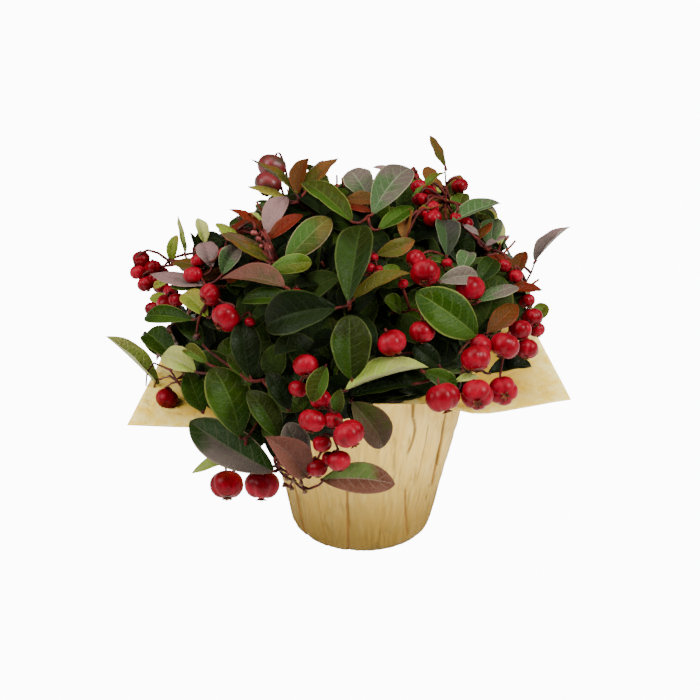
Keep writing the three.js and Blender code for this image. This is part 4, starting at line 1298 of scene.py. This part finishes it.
leafy_paths = list(shoot_paths[: len(front_places)])
for number, way in enumerate(spiral_ways):
    colour = SPIRAL_COLOURS[number % len(SPIRAL_COLOURS)]
    own = shoot_paths[len(front_places) + number]
    kept_before = len(leafy_paths)
    for path in side_paths[3 * number : 3 * number + 3] + [own]:
        count, length = (SPIRAL_LEAVES, SPIRAL_LENGTH) if path is own else (SIDE_LEAVES, SIDE_LENGTH)
        leaves = whorl(path, 0, way, count, length, chances)
        kept = fits(*leaves, inner=False)
        grow(colour, [part[kept] for part in leaves], LEAF_ROWS, LEAF_COLUMNS, SIDE_SHADES)
        if kept.sum() > 1 or (path is own and len(leafy_paths) > kept_before):
            leafy_paths.append(path)
leafy_paths = np.stack(leafy_paths)

for name, batches in grown.items():
    if not batches:
        continue
    add_piece(
        "leaves_" + name,
        [woven for woven, _, _ in batches],
        leaf_material(name, *LEAF_COLOURS[name]),
        MASS_NODES,
        closed=False,
        values=dict(zip(("shade", "cast"), np.concatenate([tones for _, _, tones in batches], axis=1))),
        places=np.concatenate([places for _, places, _ in batches]),
    )


# Twigs: the thin red-brown bark of the shoots that carry leaves, and of each mass's stalk.
twig_skin, tree = new_material("young_twig_bark")
twig_spots = noise(tree, 160, (1, 1, 0.6), detail=4)
twig_colour = mix(tree, ramp(tree, twig_spots, 0.35, 0.65), rgb("3a1512"), rgb("6e3828"))
finish_material(
    tree,
    Base_Color=twig_colour,
    Roughness=ramp(tree, twig_spots, 0.3, 0.7, 0.6, 0.8),
    Normal=bump(tree, twig_spots, 0.5, 0.2),
    Specular_IOR_Level=0.1,
)
twig_radii = np.linspace(TWIG_R, TWIG_TIP_R, TWIG_STEPS + 1)[None]
stalk_radii = np.linspace(BOUGH_TIP_R, TWIG_R * 0.9, TWIG_STEPS + 1)[None]
add_piece(
    "twigs",
    [
        weave(tubes(leafy_paths, twig_radii, TWIG_SIDES, relief=0.1), ring=True),
        weave(tubes(stalk_paths, stalk_radii, BOUGH_SIDES, relief=0.1), ring=True),
    ],
    twig_skin,
    MASS_NODES,
)


# Berries: crimson fruits with pale pink specks, partly a mealy bloom and partly a painted highlight,
# each a swollen calyx with five lobes round a dimple and a star of dried tips in it. They hang on
# short curved stalks, singly and in loose bunches.
# As shares of a berry's radius: half its height, the depth of its grooves and of its dimple, the
# reach of the star's gaps, and how much further its tips reach
BERRY_SQUASH = 0.86
GROOVE = 0.2
DIMPLE = 0.2
STAR_GAP = 0.13
STAR_TIP = 0.24
STAR_COLUMNS = 20
# A direction that no berry's axis has, from which the turns round it are measured
TURN_FROM = [0.61, 0.37, 0.7]
# Points from stalk to dimple and round the axis
FRONT_GRID = (15, 40)
SIDE_GRID = (9, 15)
SMALL_GRID = (12, 25)
# Berries of the front: place and radius in the photograph, a lift towards the eye in steps of LIFT,
# and how far the dimple turns from straight down to the eye
FRONT_BERRIES = [
    (141, 259, 9, 0, 0.2), (138, 272, 8.5, 0, 0.1), (146, 284, 9, 1, 0.2), (153, 268, 9, 1, 0.2),
    (147, 275, 8.5, -1, 0.3), (154, 280, 9, 0, 0.2), (171, 292, 7.5, -2, 0.2), (162, 274, 8, -3, 0.2),
    (161, 287, 8.5, 0, 0.2), (225, 254, 7, 0, 0.4), (199, 261, 8, 6, 0.3), (193, 275, 9.5, 7, 0.2),
    (210, 295, 11, 4, 0.3), (226, 318, 14, 4, 0.2), (167, 304, 10.5, 4, 0.2), (177, 300, 8, 3, 0.3),
    (153, 309, 8.5, 2, 0.2), (297, 293, 5, 2, 0.2), (250, 322, 5, 0, 0.2), (167, 399, 11.5, 3, 0.2),
    (227, 485, 17, 0, 0.25), (262, 485, 17, 0, 0.25), (392, 343, 13.5, 3, 0.2),
    (422, 332, 12, 1, 0.3), (373, 258, 5, 2, 0.2), (370, 268, 5, 2, 0.2), (378, 270, 5, 2, 0.2),
    (416, 260, 10, 3, 0.4), (425, 273, 14, 2, 0.3), (403, 284, 5, 2, 0.2), (447, 263, 5, 2, 0.2),
    (470, 288, 14, 0, 0.3), (504, 266, 7, 2, 0.2), (515, 276, 7.5, 2, 0.3), (527, 301, 8, 0, 0.2),
    (533, 318, 10, 2, 0.3), (537, 330, 8, 0, 0.2), (520, 330, 11, 5, 0.3), (505, 346, 14, 8, 0.3),
    (476, 359, 14, 6, 0.3), (527, 349, 11, 4, 0.4), (460, 186, 8.5, 9, 0.3), (415, 176, 4.5, 2, 0.2),
    (419, 187, 8, 1, 0.2), (429, 192, 8, 2, 0.2), (421, 200, 8, 2, 0.2), (431, 208, 8, 2, 0.2),
    (424, 213, 7, 1, 0.2), (433, 219, 9, 2, 0.2), (456, 218, 6, 2, 0.2), (466, 223, 7, 0, 0.2),
    (443, 398, 16, 6, 0.2), (477, 395, 15, 8, 0.75), (503, 391, 14, 6, 0.85), (306, 366, 12, 3, 0.3),
    (298, 389, 9, 2, 0.2), (312, 421, 12.5, 5, 0.3), (321, 400, 10, 2, 0.3), (333, 420, 9, 3, 0.2),
    (349, 434, 14.5, 9, 0.35), (322, 444, 9, 5, 0.2), (339, 461, 11, 7, 0.3), (317, 468, 10, 5, 0.2),
    (330, 459, 8, 4, 0.2), (481, 345, 11, 3, 0.3),
]
# Two that are still brown and green, two that dried up, and buds, in rows like those of the berries
UNRIPE_BERRIES = [(272, 167, 15, 0, 0.2), (268, 184, 14, -3, 0.3)]
DRIED_BERRIES = [(171, 329, 5, 0, 0.3), (197, 337, 4, 0, 0.3)]
FLOWER_BUDS = [
    (254, 233, 3.4, 2, 0.1), (259, 239, 3.6, 3, 0.1), (264, 235, 3.0, 2, 0.1), (268, 248, 3.4, 3, 0.1),
    (262, 246, 2.8, 3, 0.1), (415, 172, 3.2, 2, 0.1),
]
CURLED_BUDS = [
    (281, 470, 2.2, 2, 0.1), (287, 479, 2.4, 3, 0.1), (284, 486, 2.0, 3, 0.1), (294, 481, 2.4, 4, 0.1),
    (292, 489, 2.2, 4, 0.1), (301, 484, 2.4, 5, 0.1), (305, 492, 2.6, 6, 0.1), (299, 478, 2.0, 5, 0.1),
]
# Stalks in the photograph: their places from root to tip, and the radius at each end. They lie in
# front of the crown.
FRONT_STALKS = [
    ([(325, 366), (329, 400), (332, 421), (333, 436), (339, 452)], 0.9, 0.5),
    ([(178, 270), (168, 260), (158, 253), (148, 250), (141, 253)], 0.8, 0.6),
    ([(178, 270), (168, 266), (158, 266), (150, 271)], 0.7, 0.55),
    ([(188, 262), (198, 272), (205, 284), (214, 296), (224, 303)], 0.5, 0.4),
    ([(449, 206), (446, 190), (445, 168)], 0.6, 0.35),
    ([(527, 284), (531, 273), (535, 262)], 0.55, 0.4),
    ([(186, 380), (170, 370), (154, 363), (147, 372), (146, 386)], 0.55, 0.4),
    ([(186, 380), (170, 376), (157, 380), (152, 392)], 0.55, 0.4),
    ([(186, 380), (172, 383), (162, 390), (160, 396)], 0.55, 0.4),
    ([(276, 466), (274, 459), (278, 456), (281, 462), (278, 469), (274, 471)], 0.7, 0.5),
    ([(276, 466), (284, 476), (294, 481), (300, 487), (306, 491)], 0.75, 0.5),
    ([(280, 472), (284, 462), (289, 467), (288, 475), (284, 474)], 0.7, 0.5),
    ([(288, 478), (294, 476), (292, 482), (289, 487), (293, 489)], 0.65, 0.45),
    ([(296, 482), (300, 479), (303, 487), (309, 489), (319, 485), (325, 479)], 0.8, 0.55),
    ([(250, 452), (245, 459), (241, 465), (234, 471)], 0.75, 0.6),
    ([(254, 456), (246, 463), (245, 471)], 0.6, 0.6),
    ([(262, 462), (263, 468), (263, 474)], 0.75, 0.6),
    ([(487, 334), (482, 342), (470, 350), (462, 366)], 0.5, 0.35),
    ([(487, 334), (500, 338), (512, 340), (524, 338)], 0.5, 0.35),
]
STALK_LIFT = 2
STALK_STEPS = 25
# Hanging fruit: how far it sinks into the crown, the way it hangs, and the scatter of that
FRUIT_SINK = 2
HANGING = np.array([0, -0.15, -1.0])
FRONT_SCATTER = 0.22
SIDE_SCATTER = 0.5
# A berry's own stalk: how far it runs along the axis, how far in front of its seat an anchor may
# lie, and how much further off it counts past that
PEDICEL_R = 0.6
PEDICEL_STEPS = 8
PEDICEL_RUN = 9
FRONT_ALLOWED = 4
FRONT_COST = 30
# Leaf stalks: how far they reach up the blade and how far they run along it
LEAF_OVERLAP = 1.5
LEAF_RUN = 6
# Bunches of the sides, one to so many shoots: the fewest berries and one more than the most, their
# smallest and largest radius, how far out and down they hang from a shoot's end, and how many pixels
# inside the edge of a front leaf they hide
BUNCH_EVERY = 2
BUNCH_COUNT = (2, 5)
BUNCH_R = (4.3, 7.0)
BUNCH_OUT = 3
BUNCH_DROP = 4
BERRY_HIDDEN = 4


def skin_grid(middle, axis, radius, flat, rise):
    """Points round each axis, at reaches and heights that are given as shares of the radius over
    rows and columns."""
    turn = 2 * np.pi * np.arange(flat.shape[2]) / flat.shape[2]
    right = unit(np.cross(axis, TURN_FROM))
    over = np.cross(axis, right)
    ring = right[:, None, None] * np.cos(turn)[:, None] + over[:, None, None] * np.sin(turn)[:, None]
    shape = flat[..., None] * ring + rise[..., None] * axis[:, None, None]
    return middle[:, None, None] + radius[:, None, None, None] * shape


def berry_skins(middle, axis, radius, rows, columns):
    """Berries as grids round the axis from stalk to dimple. The angle a runs from 0 at the stalk to
    pi at the dimple. Grooves press the side in between five lobes, more deeply near the dimple, and
    a bell curve presses in the dimple and, less, the stalk's seat."""
    a = np.linspace(0, np.pi, rows)[None, :, None]
    turn = 2 * np.pi * np.arange(columns)[None, None] / columns
    lobe = np.abs(np.cos(2.5 * turn))
    pressed = GROOVE * (1 - lobe) ** 2 * np.sin(a) * (0.25 + 0.75 * (1 - np.cos(a)) / 2)
    flat = np.sin(a) * (1 - pressed) * (1 + 0.05 * np.cos(a))
    rise = -BERRY_SQUASH * np.cos(a) * (1 - 0.4 * pressed)
    rise = rise - DIMPLE * np.exp(-(((np.pi - a) / 0.42) ** 2)) + 0.08 * np.exp(-((a / 0.3) ** 2))
    return skin_grid(middle, axis, radius, flat, rise + 0 * turn)


def calyx_stars(middle, axis, radius):
    """Five dried tips in each dimple, as grids: the reach out from the axis swings between a tip and
    the gap beside it, and the tips lift off the berry a little."""
    turn = 2 * np.pi * np.arange(STAR_COLUMNS)[None, None] / STAR_COLUMNS
    step = np.array([0, 0.45, 1])[None, :, None]
    reach = step * (STAR_GAP + STAR_TIP * np.abs(np.cos(2.5 * turn)) ** 1.5)
    lift = BERRY_SQUASH - DIMPLE * 0.8 + 0.16 * step**2 + 0 * turn
    return skin_grid(middle, axis, radius, reach, lift)


def pedicels(start, axis, radius, anchors):
    """A stalk from each berry's seat, which it leaves along the axis, to the nearest anchor. One that
    lies in front of the berry counts as further off."""
    seat = start - axis * (radius * (BERRY_SQUASH - 0.1))[:, None]
    away = anchors[None] - seat[:, None]
    in_front = np.where((away @ VIEW_OUT) > FRONT_ALLOWED, FRONT_COST, 0)
    nearest = anchors[(np.linalg.norm(away, axis=-1) + in_front).argmin(1)]
    reach = np.linalg.norm(nearest - seat, axis=-1, keepdims=True)
    middle = seat - axis * np.minimum(reach * 0.45, PEDICEL_RUN)
    return np.stack([
        bend_through(low, between, high, PEDICEL_STEPS) for low, between, high in zip(seat, middle, nearest)
    ])


def fruit_in_sight(rows):
    """Middle, axis and radius of fruit that the photograph shows. The axis hangs down and leans
    towards the eye by the row's last number."""
    seen = np.array(rows)
    middle = in_sight(seen[:, :2], crown_out(seen[:, :2]) + seen[:, 3] * LIFT - FRUIT_SINK)
    hang = (1 - seen[:, 4:]) * HANGING + seen[:, 4:] * VIEW_OUT
    axis = unit(hang + FRONT_SCATTER * chances.normal(0, 1, (len(seen), 3)))
    return middle, axis, seen[:, 2] * PIXEL


def stalk_in_sight(pixels):
    """An even path through places in the photograph, just in front of the crown, which starts from
    the nearest twig."""
    pixels = np.array(pixels, float)
    path = in_sight(pixels, crown_out(pixels) + STALK_LIFT)
    twigs = leafy_paths.reshape(-1, 3)
    path[0] = twigs[np.linalg.norm(twigs - path[0], axis=1).argmin()]
    steps = np.linspace(0, len(path) - 1, STALK_STEPS)
    return np.stack([np.interp(steps, range(len(path)), path[:, i]) for i in range(3)], -1)


front_fruit = [fruit_in_sight(rows) for rows in (FRONT_BERRIES, UNRIPE_BERRIES, DRIED_BERRIES)]
front_buds = [fruit_in_sight(rows) for rows in (FLOWER_BUDS, CURLED_BUDS)]
front_stalks = np.stack([stalk_in_sight(pixels) for pixels, _, _ in FRONT_STALKS])
front_stalk_radii = np.stack([np.linspace(root, tip, STALK_STEPS) for _, root, tip in FRONT_STALKS])
twig_points = np.vstack([leafy_paths[:, 4:].reshape(-1, 3), front_stalks[:, 6:].reshape(-1, 3)])

side_fruit = spiral_places[::BUNCH_EVERY]
side_out = dome_out(side_fruit)
side_right = unit(np.cross([0, 0, 1.0], side_out))
side_middle, side_radius = [], []
for place, out, right in zip(side_fruit, side_out, side_right):
    count = chances.integers(*BUNCH_COUNT)
    reach = BUNCH_R[0] + (BUNCH_R[1] - BUNCH_R[0]) * chances.random(count)
    turn = 2 * np.pi * (np.arange(count) / count + chances.random())
    aside = right * np.cos(turn)[:, None] + np.cross(out, right) * np.sin(turn)[:, None]
    apart = (reach * 1.15 + 1)[:, None]
    side_middle.append(place + out * BUNCH_OUT + aside * apart + [0, 0, -BUNCH_DROP])
    side_radius.append(reach)
side_middle, side_radius = np.concatenate(side_middle), np.concatenate(side_radius)
side_axis = unit(np.array([0, 0, -1.0]) + SIDE_SCATTER * chances.normal(0, 1, side_middle.shape))
around = side_middle[:, None] + side_radius[:, None, None] * [VIEW_RIGHT, -VIEW_RIGHT, VIEW_UP, -VIEW_UP]
rims = pixel_of(around)
fruit_shown = (in_outline(rims, FRONT_OUTLINE) | covered(rims, BERRY_HIDDEN)).all(1)
fruit_kept = above_collar(side_middle, side_radius + 1) & fruit_shown
side_middle, side_radius, side_axis = side_middle[fruit_kept], side_radius[fruit_kept], side_axis[fruit_kept]

berry_skin, tree = new_material("berry_skin")
flush = ramp(tree, noise(tree, 110, detail=3), 0.35, 0.7)
# Partly painted highlight: pale pink specks over the skin stand for the berries' mealy bloom and for a
# painted pink highlight.
bloom_and_highlight = noise(tree, 1900, detail=2)
berry_colour = mix(tree, flush, rgb("5a010a"), rgb("800218"))
berry_colour = mix(tree, ramp(tree, bloom_and_highlight, 0.55, 0.8, 0, 0.11), berry_colour, rgb("a02842"))
finish_material(
    tree,
    Base_Color=berry_colour,
    Roughness=ramp(tree, flush, 0.0, 1.0, 0.3, 0.42),
    Normal=bump(tree, bloom_and_highlight, 0.25, 0.08),
    Specular_IOR_Level=0.09,
)
add_piece(
    "berries",
    [
        weave(berry_skins(*front_fruit[0], *FRONT_GRID), ring=True),
        weave(berry_skins(side_middle, side_axis, side_radius, *SIDE_GRID), ring=True),
    ],
    berry_skin,
    MASS_NODES,
)

for fruit_name, fruit, dull, bright in (
    ("unripe_berries", front_fruit[1], "2e1c0a", "5a1618"),
    ("dried_berries", front_fruit[2], "2a0e08", "4e2014"),
    ("flower_buds", front_buds[0], "5a1e1c", "8a443e"),
    ("curled_buds", front_buds[1], "2e1a0c", "5c4026"),
):
    fruit_skin, tree = new_material(fruit_name)
    turning = ramp(tree, noise(tree, 130, detail=4), 0.38, 0.62)
    finish_material(
        tree,
        Base_Color=mix(tree, turning, rgb(dull), rgb(bright)),
        Roughness=ramp(tree, turning, 0, 1, 0.5, 0.38),
        Normal=bump(tree, noise(tree, 1500, detail=2), 0.3, 0.1),
        Specular_IOR_Level=0.25,
    )
    add_piece(
        fruit_name,
        [weave(berry_skins(*fruit, *SMALL_GRID), ring=True)],
        fruit_skin,
        MASS_NODES,
    )

dry_calyx, tree = new_material("dry_calyx")
dryness = ramp(tree, noise(tree, 500, detail=4), 0.3, 0.7)
finish_material(
    tree,
    Base_Color=mix(tree, dryness, rgb("3a1512"), rgb("7d4a30")),
    Roughness=ramp(tree, dryness, 0, 1, 0.75, 0.9),
    Normal=bump(tree, dryness, 0.5, 0.2),
    Specular_IOR_Level=0.1,
)
every_fruit = front_fruit + [(side_middle, side_axis, side_radius)]
all_middle, all_axis, all_radius = [np.concatenate(part) for part in zip(*every_fruit)]
stalked = [np.concatenate(part) for part in zip(*every_fruit, *front_buds)]
add_piece(
    "calyx_stars",
    [weave(calyx_stars(all_middle, all_axis, all_radius), ring=True)],
    dry_calyx,
    MASS_NODES,
)

fruit_stalk, tree = new_material("fruit_stalk")
blushing = ramp(tree, noise(tree, 220), 0.3, 0.7)
finish_material(
    tree,
    Base_Color=mix(tree, blushing, rgb("2c0a08"), rgb("541c16")),
    Roughness=ramp(tree, blushing, 0, 1, 0.45, 0.6),
    Specular_IOR_Level=0.12,
)
leaf_roots = np.concatenate(leaf_bases)
root_point, root_way = leaf_roots[:, :3], leaf_roots[:, 3:]
front_count = sum(len(rows) for rows in FRONT_LEAVES.values())
far = np.linalg.norm(root_point[:front_count, None] - twig_points[None], axis=-1)
anchor = twig_points[far.argmin(1)]
leaf_stalks = np.stack([
    bend_through(root + way * LEAF_OVERLAP, root - way * min(LEAF_RUN, gap * 0.5), end, PEDICEL_STEPS)
    for root, way, end, gap in zip(root_point[:front_count], root_way[:front_count], anchor, far.min(1))
])
pedicel_radii = np.linspace(PEDICEL_R, PEDICEL_R * 1.2, PEDICEL_STEPS + 1)[None]
add_piece(
    "fruit_stalks",
    [
        weave(tubes(pedicels(*stalked, twig_points), pedicel_radii, 6), ring=True),
        weave(tubes(leaf_stalks, pedicel_radii, 6), ring=True),
        weave(tubes(front_stalks, front_stalk_radii, 8, relief=0.08), ring=True),
    ],
    fruit_stalk,
    MASS_NODES,
)
